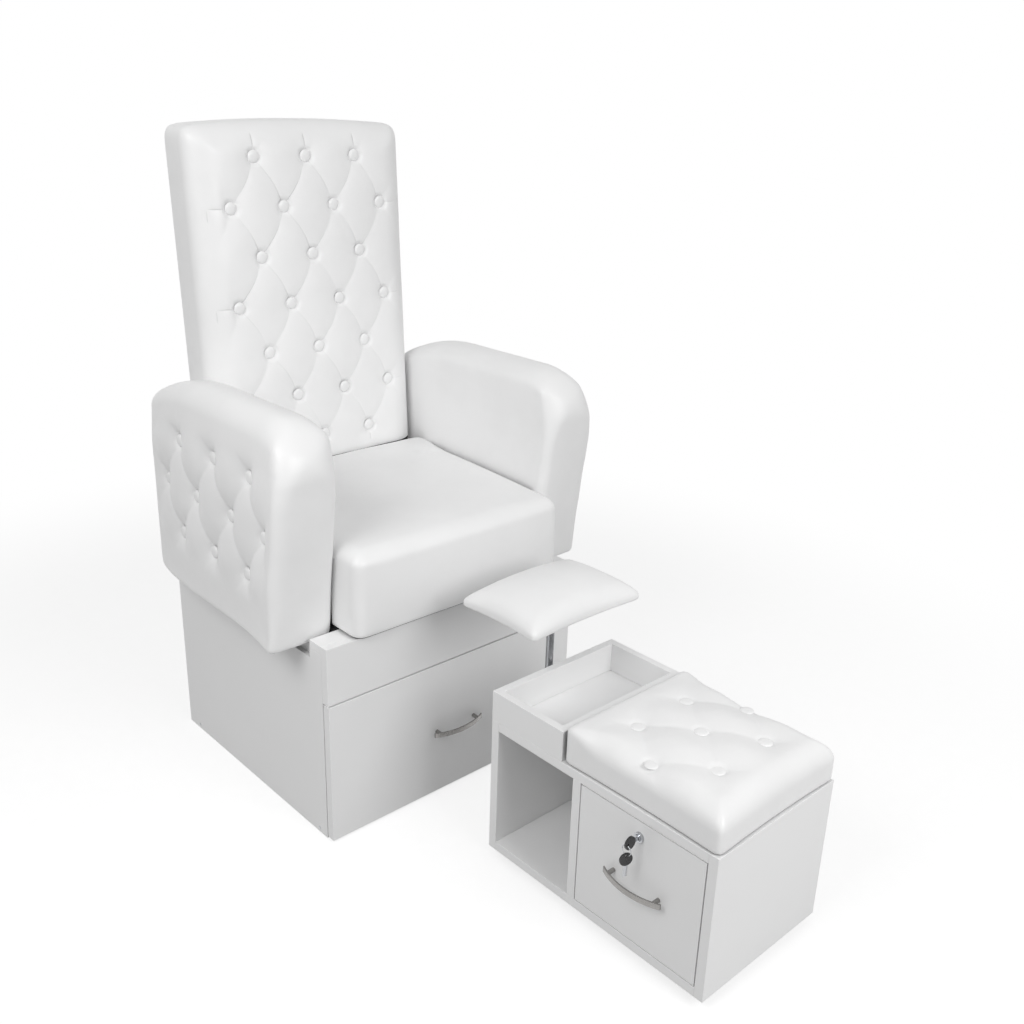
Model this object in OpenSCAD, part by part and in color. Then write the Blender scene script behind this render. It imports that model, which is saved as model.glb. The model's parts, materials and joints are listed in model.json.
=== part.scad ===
// Pedicure chair with a rolling pedicurist's stool in front of it.
// The base cabinet stands with the centre of its underside at the origin and faces -Y.
// The stool is laid out in its own corner frame: X across, Y from its foot end towards
// its seat end, and stands in line with the chair.

/* [Base cabinet] */
// Width of the base cabinet
base_w = 620; // [520:10:720]
// Depth of the base cabinet with its front boards
base_d = 568; // [500:4:640]
// Height of the seat rail's top face above the floor
base_h = 412; // [380:2:440]
// Thickness of the furniture boards of the base
board_t = 18; // [15:1:20]
// Height of the fixed fascia over the drawer
fascia_h = 116; // [90:2:140]
// Depth of the top strip behind the fascia
strip_d = 37; // [25:1:50]
// Width over which the deck bears on each side panel
deck_bearing = 8; // [5:1:14]

/* [Base drawer] */
// Gap between the drawer front and the boards round it
front_gap = 3; // [2:0.5:5]
// Distance that a closed drawer front stands off the cabinet's edges
closing_gap = 1; // [0.5:0.5:2]
// Thickness of the drawer box's sides and ends
box_t = 15; // [12:1:18]
// Thickness of a drawer bottom
box_bottom_t = 6; // [4:1:9]
// Height of the base drawer's box
base_box_h = 200; // [140:10:220]
// Distance from the closed drawer's box to the rear panel
base_box_rear_gap = 33; // [25:1:100]
// Height of the drawer box above the cabinet floor
box_lift = 12; // [8:1:20]

/* [Drawer runners] */
// Room between a drawer box and the panel beside it
runner_room = 13; // [12:0.5:15]
// Height of the fixed runner channel
runner_h = 35; // [30:1:45]
// Sheet thickness of the runners
runner_sheet = 1.5; // [1:0.25:2]
// Running gap between the two runner members
runner_gap = 0.4; // [0.3:0.1:0.8]
// Distance from the base drawer's runners to the rear panel
base_runner_rear_gap = 76; // [60:2:130]
// Length of the stool drawer's runners
stool_runner_l = 240; // [200:10:250]

/* [Bow handles] */
// Distance between a handle's two posts
handle_pitch = 96; // [64:32:128]
// Length of the strip beyond each post's axis
handle_end = 13; // [8:1:18]
// Height of the strip
handle_strip_h = 10; // [8:1:14]
// Thickness of the strip
handle_strip_t = 3; // [2.5:0.5:6]
// Projection of the strip's back at its ends
handle_reach = 9; // [8:1:24]
// Extra projection of the strip at its middle
handle_bow = 15; // [4:1:18]
// Diameter of the handle posts
handle_post_d = 8; // [6:1:10]
// Height of the base drawer handle above the floor
base_handle_z = 144; // [110:1:180]
// Sideways place of the base drawer handle's middle
base_handle_x = -10; // [-60:1:60]

/* [Seat] */
// Gap between the seat cushion and each arm
seat_side_gap = 2; // [1:0.5:6]
// Overhang of the seat cushion past the cabinet's front
seat_overhang = 13; // [0:1:30]
// Height of the seat cushion at its rolled edge
seat_t = 166; // [120:2:190]
// Extra height of the seat cushion's crown
seat_crown = 8; // [4:1:20]
// Rise of the seat cushion's top from its front to the back
seat_rise = 20; // [0:1:30]

/* [Arms] */
// Distance from an arm's inner face to the cabinet's side
arm_inset = 57; // [40:1:80]
// Thickness of an arm
arm_t = 96; // [70:1:110]
// Height of an arm above its lining
arm_h = 426; // [380:2:460]
// Distance from the cabinet's front to the arm's foot
arm_setback = 68; // [60:1:90]
// Distance from the arm's rear face to the cabinet's rear
arm_rear_gap = 8; // [0:1:30]
// Forward lean of the arm's front face in degrees
arm_lean = 8; // [0:0.5:10]
// Radius of the arm's top front corner
arm_nose_r = 92; // [60:2:110]
// Drop of the arm's top at its rear end
arm_tail_drop = 56; // [30:2:80]
// Length of the arm's top that slopes down to the rear
arm_tail_l = 200; // [140:5:240]
// Spacing of the arm's buttons along a row
arm_button_pitch = 130; // [110:2:135]
// Spacing of the arm's button rows
arm_row_pitch = 95; // [80:1:100]
// Height of the arm's middle button row above the arm's foot
arm_row_h = 213; // [195:1:225]

/* [Back] */
// Gap between the back and each arm
back_side_gap = 7; // [4:1:40]
// Height of the back above the deck lining
back_h = 880; // [830:2:900]
// Thickness of the back
back_t = 115; // [100:1:125]
// Lean of the back in degrees
back_lean = 3.5; // [0:0.5:5]
// Distance from the foot of the back's front to the cabinet's rear
back_rear_gap = 126; // [122:1:132]
// Share of the back's half width from one button of a row to the next
back_button_share = 0.4755; // [0.42:0.0005:0.5]
// Spacing of the back's button rows
back_row_pitch = 95; // [80:1:96]
// Height of the lowest button row above the foot of the back
back_first_row = 248; // [240:1:260]

/* [Buttons] */
// Diameter of the covered buttons
button_d = 25; // [18:1:28]
// Thickness of a covered button
button_t = 6; // [4:0.5:8]
// Depth of the tufts of the back
back_tuft = 9; // [5:0.5:10]
// Depth of the tufts of the arms
arm_tuft = 14; // [8:0.5:16]
// Depth of the tufts of the stool's cushion
stool_tuft = 12; // [8:0.5:14]

/* [Stool] */
// Clear floor between the cabinet's front and the stool
stool_gap = 215; // [190:5:300]
// Sideways place of the stool's middle
stool_mid_x = 51.5; // [-60:0.5:60]
// Width of the stool
stool_w = 311; // [280:1:350]
// Length of the stool
stool_l = 506; // [480:2:560]
// Height of the stool's case without casters
stool_h = 275; // [260:1:300]
// Thickness of the stool's boards
stool_board_t = 18; // [15:1:20]
// Length of the tray at the stool's foot end
tray_l = 176; // [170:2:190]
// Height of the tray's walls
tray_h = 58; // [40:1:70]
// Thickness of the tray's walls
tray_wall_t = 15; // [9:1:18]
// Width of the open niche under the tray
niche_w = 186.5; // [170:0.5:200]
// Height of the stool cushion at its rolled edge
stool_seat_t = 72; // [60:1:90]
// Extra height of the stool cushion's crown
stool_crown = 14; // [4:1:20]
// Gap between the stool cushion and the tray
stool_seat_gap = 3; // [2:0.5:6]
// Spacing of the stool cushion's buttons across the stool
stool_button_pitch = 126; // [110:2:130]
// Spacing of the stool cushion's button rows
stool_row_pitch = 82.5; // [75:0.5:85]

/* [Stool drawer] */
// Gap round the inset drawer front
inset_gap = 2; // [1.5:0.5:3]
// Height of the stool drawer's box
stool_box_h = 150; // [120:5:160]
// Depth of the stool drawer's box
stool_box_d = 252; // [245:1:260]
// Height of the stool drawer's handle above the floor
stool_handle_z = 152; // [130:1:170]
// Height of the lock above the floor
lock_z = 245.5; // [242:0.5:248]

/* [Footrest] */
// Length of the foot pad
pad_l = 280; // [240:5:300]
// Depth of the foot pad
pad_w = 194; // [160:2:200]
// Thickness of the foot pad at its edge
pad_t = 26; // [20:1:40]
// Extra height of the foot pad's crown
pad_crown = 32; // [20:1:40]
// Height of the pad's underside above the floor
pad_z = 468; // [455:1:480]
// Diameter of the footrest post
post_d = 15; // [14:1:17]
// Length of the sleeve that holds the post
sleeve_l = 160; // [120:5:170]

/* [Casters] */
// Diameter of a caster wheel
wheel_d = 14; // [12:0.5:14]
// Height of a caster from the floor to the stool
caster_h = 18; // [18:0.5:22]
// Width of one wheel of a twin caster
wheel_w = 4.5; // [3.5:0.25:5]
// Distance of a wheel's axle behind its swivel axis
caster_trail = 5; // [4:0.5:6]

/* [Hidden] */
$fn = 48;

// Overrun of a cut past the face that it opens
over = 1;
// Gap between soft pieces, and between a piece and its seat
seat_play = 0.3;
// Radial clearance of a running fit
run_play = 0.1;

// Base cabinet
front_y = -base_d / 2;
rear_y = base_d / 2;
inner_x = base_w / 2 - board_t;
deck_top = base_h - board_t;
deck_z = deck_top - board_t;
carcass_y = front_y + board_t;
strip_y = carcass_y + strip_d;
fascia_z = base_h - fascia_h;
screw_head_d = 7;
screw_head_t = 2;
screw_d = 5;
screw_l = 50;
screw_inset = 26;

// Base drawer
drawer_front_z = front_gap;
drawer_front_top = fascia_z - front_gap;
drawer_front_back_y = carcass_y - closing_gap;
box_half_w = inner_x - runner_room;
base_box_end_y = rear_y - board_t - base_box_rear_gap;
base_box_z = board_t + box_lift;
runner_mid_share = 0.5;
base_runner_z = base_box_z + runner_mid_share * base_box_h;
runner_depth = 10;
runner_inner_reach = 8;
runner_setback = 6;
base_runner_y = carcass_y + runner_setback;
base_runner_l = rear_y - board_t - base_runner_rear_gap - base_runner_y;

// Upholstery of the chair
lining_t = 2;
soft_z = deck_top + lining_t;
seat_z = base_h;
back_foot_y = rear_y - back_rear_gap;
lean_tan = tan(back_lean);
seat_half_d = (back_foot_y - front_y + seat_overhang - 2 * seat_play) / 2;
seat_mid_y = back_foot_y - 2 * seat_play - seat_half_d;
arm_inner_x = base_w / 2 - arm_inset;
seat_half_w = arm_inner_x - seat_side_gap;
edge_shares = [0, 0.12, 0.42, 1];
seat_roll = 30;
seat_corner_r = 20;
seat_base_roll = 10;
seat_lines = 9;
button_shank_share = 0.17;
bow_fn = 180;
wire_fn = 24;

// Arms
arm_len = base_d - arm_setback - arm_rear_gap;
arm_mid_len = arm_len + arm_row_h * tan(arm_lean);
arm_half_l = arm_mid_len / 2;
arm_half_h = arm_h / 2;
arm_roll = 28;
arm_crown = 20;
arm_tuft_spread = 20;
arm_inner_roll = 20;
arm_corner_r = 24;
arm_button_shift = -6;
arm_line_gap = 8;
arm_free_share = 0.78;
arm_frame_margin = 1;
arm_frame_t = arm_t - arm_roll - arm_inner_roll - 2 * arm_frame_margin;
arm_frame_wall_share = 0.3;
arm_frame_wall = arm_frame_wall_share * arm_frame_t;
arm_frame_h = 300;
arm_frame_inset = 45;

// Back
back_half_w = arm_inner_x - back_side_gap;
back_button_pitch = back_button_share * back_half_w;
back_half_h = back_h / 2;
back_roll = 24;
back_rear_roll = 8;
back_corner_r = 34;
back_crown = 6;
back_tuft_spread = 22;
back_low_lines = [90, 160];
board_depth = 87;
back_board_t = 15;
back_board_margin = 40;
back_board_h = 800;
strap_w = 40;
strap_t = 5;
strap_place_share = 0.62;
strap_x = strap_place_share * back_half_w;
strap_top = 300;
strap_reach = 206;
strap_bottom = deck_z - strap_reach;
bolt_d = 8;
bolt_head_d = 16;
bolt_head_t = 5;
bolt_nut_d = 14;
bolt_nut_t = 6;
bolt_inset = 30;
bolt_pitch = 110;

// Stool
stool_x = stool_mid_x - stool_w / 2;
stool_y = front_y - stool_gap;
case_z = caster_h;
case_top = case_z + stool_h;
niche_y = -stool_board_t - niche_w;
bay_y = niche_y - stool_board_t;
bay_end_y = -stool_l + stool_board_t;
bay_z = case_z + stool_board_t;
bay_top = case_top - stool_board_t;
stool_half_w = stool_w / 2;
stool_seat_half_l = (stool_l - tray_l - stool_seat_gap) / 2;
stool_seat_y = -tray_l - stool_seat_gap - stool_seat_half_l;
stool_roll = 24;
stool_base_roll = 6;
stool_tuft_spread = 22;
stool_corner_r = 12;
stool_seat_board_t = 12;
stool_seat_board_margin = 22;

// Stool drawer
inset_y = bay_y - inset_gap;
inset_end_y = bay_end_y + inset_gap;
inset_z = bay_z + inset_gap;
inset_top = bay_top - inset_gap;
drawer_mid_y = (inset_y + inset_end_y) / 2;
stool_box_y = bay_y - runner_room;
stool_box_end_y = bay_end_y + runner_room;
stool_box_z = bay_z + box_lift;
stool_runner_z = stool_box_z + runner_mid_share * stool_box_h;
stool_box_x = stool_board_t;

// Lock and keys
lock_d = 16;
rosette_d = 18;
rosette_t = 5;
plug_d = 12;
plug_proud = 3;
lock_l = 25;
cam_w = 12;
cam_t = 2;
cam_l = 36;
cam_gap = 0.5;
mortise_play = 1.5;
mortise_depth = 10;
key_blade_t = 2.2;
key_blade_w = 7;
key_blade_in = 17;
key_blade_out = 8;
key_head_d = 23;
key_head_t = 4;
key_hole_d = 5;
key_hole_inset = 4.5;
key_slot_play = 0.15;
ring_wire_d = 1.6;
ring_r = 9;
spare_blade_l = 22;
spare_turn = -20;
spare_play = 0.6;

// Footrest
post_wall = 2;
sleeve_wall = 2.4;
bracket_w = 80;
bracket_h = 170;
bracket_t = 3;
bracket_z = 135;
sleeve_r = post_d / 2 + run_play + sleeve_wall;
post_x = stool_w / 2;
sleeve_z = 150;
post_bottom = 168;
socket_l = 34;
pad_plate_l = 160;
pad_plate_w = 100;
pad_plate_t = 3;
pad_roll_share = 0.6;
pad_roll = pad_roll_share * pad_t;
pad_corner_r = 18;
pad_base_roll = 6;
pad_lines_u = 6;
pad_lines_v = 5;
clamp_drop = 20;
clamp_z = sleeve_z + sleeve_l - clamp_drop;
clamp_boss_d = 16;
clamp_boss_l = 9;
clamp_screw_d = 8;
knob_d = 24;
knob_t = 16;
knob_stand_off = 3;
knob_clearance = 0.6;
post_y = bracket_t + max(sleeve_r, knob_d / 2 + knob_clearance);
knob_lobes = 6;
knob_lobe_d = 6;

// Casters
caster_plate_d = 24;
caster_plate_t = 1.5;
fork_disc_d = 15;
fork_disc_t = 1.6;
fork_web_t = 3;
fork_gap = 0.3;
rivet_d = 4;
axle_d = 2.4;
caster_side_inset = 30;
caster_foot_inset = 62;
caster_seat_inset = 30;

// Helpers

// A box between two corners
module box(low, high) {
    translate(low) cube(high - low);
}

// The same box on both sides of the middle plane
module box_pair(low, high) {
    box(low, high);
    mirror([1, 0, 0]) box(low, high);
}

module at_stool() {
    translate([stool_x, stool_y, 0]) children();
}

// A cylinder that runs from a point along +X
module rod_x(start, d, l) {
    translate(start) rotate([0, 90, 0]) cylinder(d = d, h = l);
}

// A cylinder that runs from a point along +Y
module rod_y(start, d, l) {
    translate(start) rotate([-90, 0, 0]) cylinder(d = d, h = l);
}

// Padded forms

// How far a round of radius r has fallen at distance d from the border
function round_drop(d, r) = d >= r ? 0 : r - sqrt(r * r - (r - d) * (r - d));

// Grid lines across a padded face: close at the rolled edges, with given lines between
function pad_lines(half, roll, middle) = concat(
    [for (s = edge_shares) -half + s * roll],
    middle,
    [for (i = [len(edge_shares) - 1:-1:0]) half - edge_shares[i] * roll]
);

// Evenly spaced lines between the rolled edges
function even_lines(half, roll, n) =
    [for (i = [1:n - 1]) (half - roll) * (2 * i / n - 1)];

// Depth that the tufts draw a face in at a point
function tuft_drop(u, v, tufts, depth, spread, i = 0) = i >= len(tufts) ? 0 :
    depth * exp(-((u - tufts[i].x) ^ 2 + (v - tufts[i].y) ^ 2) / (spread * spread))
    + tuft_drop(u, v, tufts, depth, spread, i + 1);

// A closed pad: a rolled and crowned face over rings that draw in to a flat base.
// p holds half sizes, thickness, roll, corner radius, crown, base roll, tufts and depth.
function pad_spec(half_u, half_v, t, roll, corner, crown, base_roll, tufts = [],
                  depth = 0, spread = 1) =
    [half_u, half_v, t, roll, corner, crown, base_roll, tufts, depth, spread];

function pad_face(p, u, v) = let (
    edge = min(p[0] - abs(u), p[1] - abs(v)),
    swell = p[5] * (1 - (u / p[0]) ^ 2) * (1 - (v / p[1]) ^ 2)
) [
    u * (p[0] - round_drop(p[1] - abs(v), p[4])) / p[0],
    v,
    p[2] + swell - round_drop(edge, p[3]) - tuft_drop(u, v, p[7], p[8], p[9])
];

function pad_ring(p, u, v, z, inset) = let (q = pad_face(p, u, v))
    [q.x * (p[0] - inset) / p[0], q.y * (p[1] - inset) / p[1], z];

module pad(p, us, vs, place) {
    nu = len(us) - 1;
    nv = len(vs) - 1;
    border = concat(
        [for (i = [0:nu]) [i, 0]], [for (j = [1:nv]) [nu, j]],
        [for (i = [nu - 1:-1:0]) [i, nv]], [for (j = [nv - 1:-1:1]) [0, j]]
    );
    nb = len(border);
    count = (nu + 1) * (nv + 1);
    points = concat(
        [for (j = [0:nv]) for (i = [0:nu]) place(pad_face(p, us[i], vs[j]))],
        [for (b = border) place(pad_ring(p, us[b.x], vs[b.y], p[6], 0))],
        [for (b = border) place(pad_ring(p, us[b.x], vs[b.y], 0, p[6]))],
        [place([0, 0, 0])]
    );
    function grid(i, j) = j * (nu + 1) + i;
    function edge(k) = grid(border[k % nb].x, border[k % nb].y);
    function ring(r, k) = count + r * nb + k % nb;
    top = [for (j = [0:nv - 1]) for (i = [0:nu - 1]) each [
        [grid(i, j), grid(i, j + 1), grid(i + 1, j + 1)],
        [grid(i, j), grid(i + 1, j + 1), grid(i + 1, j)]
    ]];
    upper = [for (k = [0:nb - 1]) each [
        [edge(k), edge(k + 1), ring(0, k + 1)], [edge(k), ring(0, k + 1), ring(0, k)]
    ]];
    lower = [for (k = [0:nb - 1]) each [
        [ring(0, k), ring(0, k + 1), ring(1, k + 1)], [ring(0, k), ring(1, k + 1), ring(1, k)]
    ]];
    base = [for (k = [0:nb - 1]) [ring(1, k), ring(1, k + 1), count + 2 * nb]];
    polyhedron(points, concat(top, upper, lower, base));
}

// Button places in rows that hold long and long less one buttons by turns
function button_rows(rows, long, pitch, row_pitch, long_first) = [
    for (r = [0:rows - 1]) let (n = (r % 2 == 0) == long_first ? long : long - 1)
        for (i = [0:n - 1]) [(i - (n - 1) / 2) * pitch, r * row_pitch]
];

// A cushion with room cut in it for what it holds: one mesh, at the size that it has
module hollowed() {
    resize([0, 0, 0]) difference() {
        children(0);
        children([1:$children - 1]);
    }
}

// A covered button with its shank, which stands on the bottom of its tuft
module button(shank) {
    dome_r = ((button_d / 2) ^ 2 + button_t ^ 2) / (2 * button_t);
    cylinder(d = button_d * button_shank_share, h = shank + button_t / 2);
    translate([0, 0, shank]) intersection() {
        cylinder(d = button_d, h = button_t);
        translate([0, 0, button_t - dome_r]) sphere(r = dome_r);
    }
}

// Length of a shank that lifts the button clear of its tuft's sides
function shank(depth, line_gap) = depth * button_d / 2 / line_gap;

// Height of the shank's end over the tuft's bottom, clear of the tuft's sides
function shank_lift(depth, line_gap) =
    seat_play + button_shank_share * shank(depth, line_gap);

// Base cabinet

module side_panel() {
    color("white") difference() {
        translate([inner_x, 0, 0]) rotate([90, 0, 90]) linear_extrude(board_t) polygon([
            [carcass_y, 0], [rear_y, 0], [rear_y, deck_z], [strip_y, deck_z],
            [strip_y, deck_top], [carcass_y, deck_top]
        ]);
        for (y = [carcass_y + screw_inset, rear_y - board_t - screw_inset]) {
            rod_x([inner_x - over, y, board_t / 2], screw_d + 2 * run_play, board_t + 2 * over);
            rod_x([base_w / 2 - screw_head_t - run_play, y, board_t / 2],
                screw_head_d + 2 * run_play, screw_head_t + run_play + over);
        }
    }
}

module base_side_right() {
    side_panel();
}

module base_side_left() {
    mirror([1, 0, 0]) side_panel();
}

module base_bottom() {
    color("white") difference() {
        box([-inner_x, carcass_y, 0], [inner_x, rear_y - board_t, board_t]);
        for (y = [carcass_y + screw_inset, rear_y - board_t - screw_inset])
            for (x = [-inner_x - over, inner_x - screw_l + board_t])
                rod_x([x, y, board_t / 2], screw_d + 2 * run_play, screw_l - board_t + over);
    }
}

module base_screw() {
    head_x = base_w / 2 - screw_head_t;
    rod_x([head_x, 0, board_t / 2], screw_head_d, screw_head_t);
    rod_x([base_w / 2 - screw_l + over, 0, board_t / 2], screw_d, screw_l - screw_head_t);
}

module base_screws() {
    color("gray") for (y = [carcass_y + screw_inset, rear_y - board_t - screw_inset])
        translate([0, y, 0]) {
            base_screw();
            mirror([1, 0, 0]) base_screw();
        }
}

// Where the bolts that hold the back's straps pass the rear panel
function bolt_places() = [for (sx = [-1, 1]) for (i = [0, 1])
    [sx * strap_x, strap_bottom + bolt_inset + i * bolt_pitch]];

module bolt_holes() {
    for (p = bolt_places())
        rod_y([p.x, rear_y - 2 * board_t, p.y], bolt_d + 2 * run_play, 3 * board_t);
}

module base_back() {
    color("white") difference() {
        box([-inner_x, rear_y - board_t, 0], [inner_x, rear_y, deck_z]);
        bolt_holes();
    }
}

module base_fascia() {
    color("white") box([-base_w / 2, front_y, fascia_z], [base_w / 2, carcass_y, base_h]);
}

module base_top_strip() {
    color("white") box([-base_w / 2, carcass_y, deck_top], [base_w / 2, strip_y, base_h]);
}

module base_deck() {
    color("white") difference() {
        union() {
            box([-inner_x, carcass_y, deck_z], [inner_x, rear_y, deck_top]);
            box([-inner_x - deck_bearing, strip_y, deck_z],
                [inner_x + deck_bearing, rear_y, deck_top]);
        }
        for (sx = [-1, 1]) translate([sx * strap_x, 0, 0])
            box([-strap_w / 2 - seat_play, strap_y() - seat_play, deck_z - over],
                [strap_w / 2 + seat_play, strap_y() + strap_t + seat_play, deck_top + over]);
    }
}

// Drawer runners: a fixed channel on the panel and a smaller one on the drawer box.
// Both stand with their web on x = 0 and run along +Y; the room between them is along +X.
module fixed_runner(l) {
    box([0, 0, -runner_h / 2], [runner_sheet, l, runner_h / 2]);
    for (z = [-runner_h / 2, runner_h / 2 - runner_sheet])
        box([0, 0, z], [runner_depth, l, z + runner_sheet]);
}

module moving_runner(l) {
    half = runner_h / 2 - runner_sheet - runner_gap;
    box([runner_room - runner_sheet, 0, -half], [runner_room, l, half]);
    for (z = [-half, half - runner_sheet])
        box([runner_room - runner_inner_reach, 0, z], [runner_room, l, z + runner_sheet]);
}

module base_runner_place() {
    translate([-inner_x, base_runner_y, base_runner_z]) children();
    mirror([1, 0, 0]) translate([-inner_x, base_runner_y, base_runner_z]) children();
}

module base_runners_fixed() {
    color("silver") base_runner_place() fixed_runner(base_runner_l);
}

module base_runners_moving() {
    color("silver") base_runner_place() moving_runner(base_runner_l);
}

// Base drawer

module base_drawer_front() {
    color("white") box([-base_w / 2 + closing_gap, front_y - closing_gap, drawer_front_z],
        [base_w / 2 - closing_gap, drawer_front_back_y, drawer_front_top]);
}

// An open box with its bottom let in, from low to high
module open_box(low, high) {
    difference() {
        box(low, high);
        box(low + [box_t, box_t, 2 * box_bottom_t], high + [-box_t, -box_t, over]);
        box(low + [box_t, box_t, -over],
            [high.x - box_t, high.y - box_t, low.z + box_bottom_t]);
    }
}

module base_drawer_box() {
    color("ivory") open_box([-box_half_w, drawer_front_back_y, base_box_z],
        [box_half_w, base_box_end_y, base_box_z + base_box_h]);
}

// A bow handle on the plane y = 0, standing out along -Y
module bow_handle() {
    half = handle_pitch / 2 + handle_end;
    r = (half * half + handle_bow * handle_bow) / (2 * handle_bow);
    mid_y = -handle_reach - handle_bow + r;
    translate([0, 0, -handle_strip_h / 2]) linear_extrude(handle_strip_h) intersection() {
        translate([0, mid_y]) difference() {
            circle(r = r + handle_strip_t, $fn = bow_fn);
            circle(r = r, $fn = bow_fn);
        }
        translate([-half, -handle_reach - handle_bow - 2 * handle_strip_t])
            square([2 * half, handle_bow + 2 * handle_strip_t]);
    }
    post_x_at = handle_pitch / 2;
    post_l = sqrt((r + handle_strip_t / 2) ^ 2 - post_x_at ^ 2) - mid_y;
    for (sx = [-1, 1]) rod_y([sx * post_x_at, -post_l, 0], handle_post_d, post_l);
}

module base_drawer_handle() {
    color("silver") translate([base_handle_x, front_y - closing_gap, base_handle_z])
        bow_handle();
}

// Seat

module seat_board() {
    color("tan") box([-arm_inner_x + over, strip_y, deck_top],
        [arm_inner_x - over, back_foot_y - over, base_h - lining_t]);
}

// Backward shift of the back's planes at a height above the deck lining
function lean(z) = z * lean_tan;

// Place of the back's crowned face at a height, from the foot of the back
function back_face(z) = lean(z) - back_crown * (1 - ((z - back_half_h) / back_half_h) ^ 2);

module seat_cushion() {
    spec = pad_spec(seat_half_w, seat_half_d, seat_t, seat_roll, seat_corner_r, seat_crown,
        seat_base_roll);
    lines_u = pad_lines(seat_half_w, seat_roll, even_lines(seat_half_w, seat_roll, seat_lines));
    lines_v = pad_lines(seat_half_d, seat_roll, even_lines(seat_half_d, seat_roll, seat_lines));
    color("whitesmoke") pad(spec, lines_u, lines_v, function (q) [
        q.x,
        seat_mid_y + q.y + back_face(seat_z - soft_z + q.z) * (q.y / seat_half_d + 1) / 2,
        seat_z + q.z * (1 + seat_rise / seat_t * (q.y / seat_half_d + 1) / 2)
    ]);
}

// Arms

// The arm's front edge at a height above the lining
function arm_front(z) = front_y + arm_setback - z * tan(arm_lean);

// The arm's top edge, as a share s of the way from front to rear
function arm_top(s) = let (
    from_front = s * 2 * arm_half_l,
    into_tail = max(0, from_front - 2 * arm_half_l + arm_tail_l)
) arm_h - round_drop(from_front, arm_nose_r) - arm_tail_drop * (into_tail / arm_tail_l) ^ 2;

// Maps a flat pad onto the arm's side outline, with the pad's thickness along +X
function arm_place(q) = let (
    s = q.x / 2 / arm_half_l + 1 / 2,
    up = q.y + arm_half_h,
    free = arm_free_share * arm_h,
    z = up <= free ? up : free + (up - free) / (arm_h - free) * (arm_top(s) - free),
    front = arm_front(z)
) [arm_inner_x + q.z, front + s * (rear_y - arm_rear_gap - front), soft_z + z];

arm_row_v = arm_row_h - arm_half_h;
arm_tufts = [for (b = button_rows(3, 4, arm_button_pitch, arm_row_pitch, false))
    [b.x + arm_button_shift, b.y - arm_row_pitch + arm_row_v]];

module arm_shell() {
    spec = pad_spec(arm_half_l, arm_half_h, arm_t, arm_roll, arm_corner_r, arm_crown,
        arm_inner_roll, arm_tufts, arm_tuft, arm_tuft_spread);
    lines_u = pad_lines(arm_half_l, arm_roll, [for (k = [-8:8])
        let (u = arm_button_shift + k * arm_button_pitch / 4)
        if (abs(u) < arm_half_l - arm_roll - arm_line_gap) u]);
    lines_v = pad_lines(arm_half_h, arm_roll,
        [for (k = [-6:6]) arm_row_v + k * arm_row_pitch / 4]);
    color("whitesmoke") hollowed() {
        pad(spec, lines_u, lines_v, function (q) arm_place(q));
        arm_frame_box(seat_play);
    }
}

function arm_frame_low() = [arm_inner_x + arm_inner_roll + arm_frame_margin,
    front_y + arm_setback + arm_frame_inset, soft_z];

// The outside of the frame, grown by a clearance and open below
module arm_frame_box(play) {
    low = arm_frame_low();
    high = [low.x + arm_frame_t, rear_y - arm_rear_gap - arm_frame_inset, soft_z + arm_frame_h];
    box(low - [play, play, play > 0 ? over : 0], high + [play, play, play]);
}

module arm_frame() {
    low = arm_frame_low();
    wall = arm_frame_wall;
    color("tan") difference() {
        arm_frame_box(0);
        box([low.x + wall, low.y + wall, soft_z - over],
            [low.x + arm_frame_t - wall, rear_y - arm_rear_gap - arm_frame_inset - wall,
            soft_z + arm_frame_h - wall]);
    }
}

module arm_buttons() {
    spec = pad_spec(arm_half_l, arm_half_h, arm_t, arm_roll, arm_corner_r, arm_crown,
        arm_inner_roll, arm_tufts, arm_tuft, arm_tuft_spread);
    color("white") for (b = arm_tufts) {
        seat = arm_place(pad_face(spec, b.x, b.y));
        translate(seat + [shank_lift(arm_tuft, arm_row_pitch / 4), 0, 0]) rotate([0, 90, 0])
            button(shank(arm_tuft, arm_row_pitch / 4));
    }
}

module arm_right() {
    arm_shell();
}

module arm_left() {
    mirror([1, 0, 0]) arm_shell();
}

module arm_frame_right() {
    arm_frame();
}

module arm_frame_left() {
    mirror([1, 0, 0]) arm_frame();
}

module arm_buttons_right() {
    arm_buttons();
}

module arm_buttons_left() {
    mirror([1, 0, 0]) arm_buttons();
}

// Black cloth under the arms, the back and the seat cushion
module underlining() {
    color("black") {
        box_pair([arm_inner_x + arm_inner_roll, front_y + arm_setback + arm_corner_r, deck_top],
            [arm_inner_x + arm_t - arm_roll, rear_y - arm_rear_gap - arm_corner_r, soft_z]);
        box([-back_half_w + back_corner_r, back_foot_y + back_roll, deck_top],
            [back_half_w - back_corner_r, strap_y() - seat_play, soft_z]);
        box([-seat_half_w + 2 * lining_t, strip_y, base_h - lining_t],
            [seat_half_w - 2 * lining_t, back_foot_y - over, base_h]);
    }
}

// Back

// Depth of the straps' front face behind the foot of the back
function strap_y() = rear_y - board_t - strap_t;

// A slab across the back that leans with it, from one depth to another
module leaning_slab(half_w, from_y, to_y, top) {
    translate([-half_w, 0, 0]) rotate([90, 0, 90]) linear_extrude(2 * half_w) polygon([
        [from_y, soft_z], [to_y, soft_z], [to_y + lean(top), soft_z + top],
        [from_y + lean(top), soft_z + top]
    ]);
}

back_tufts = [for (b = button_rows(7, 4, back_button_pitch, back_row_pitch, false))
    [b.x, b.y + back_first_row - back_half_h]];

function back_spec() = pad_spec(back_half_w, back_half_h, back_t, back_roll, back_corner_r,
    back_crown, back_rear_roll, back_tufts, back_tuft, back_tuft_spread);

function back_place(q) = let (up = q.y + back_half_h)
    [q.x, back_foot_y + back_t - q.z + lean(up), soft_z + up];

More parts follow.
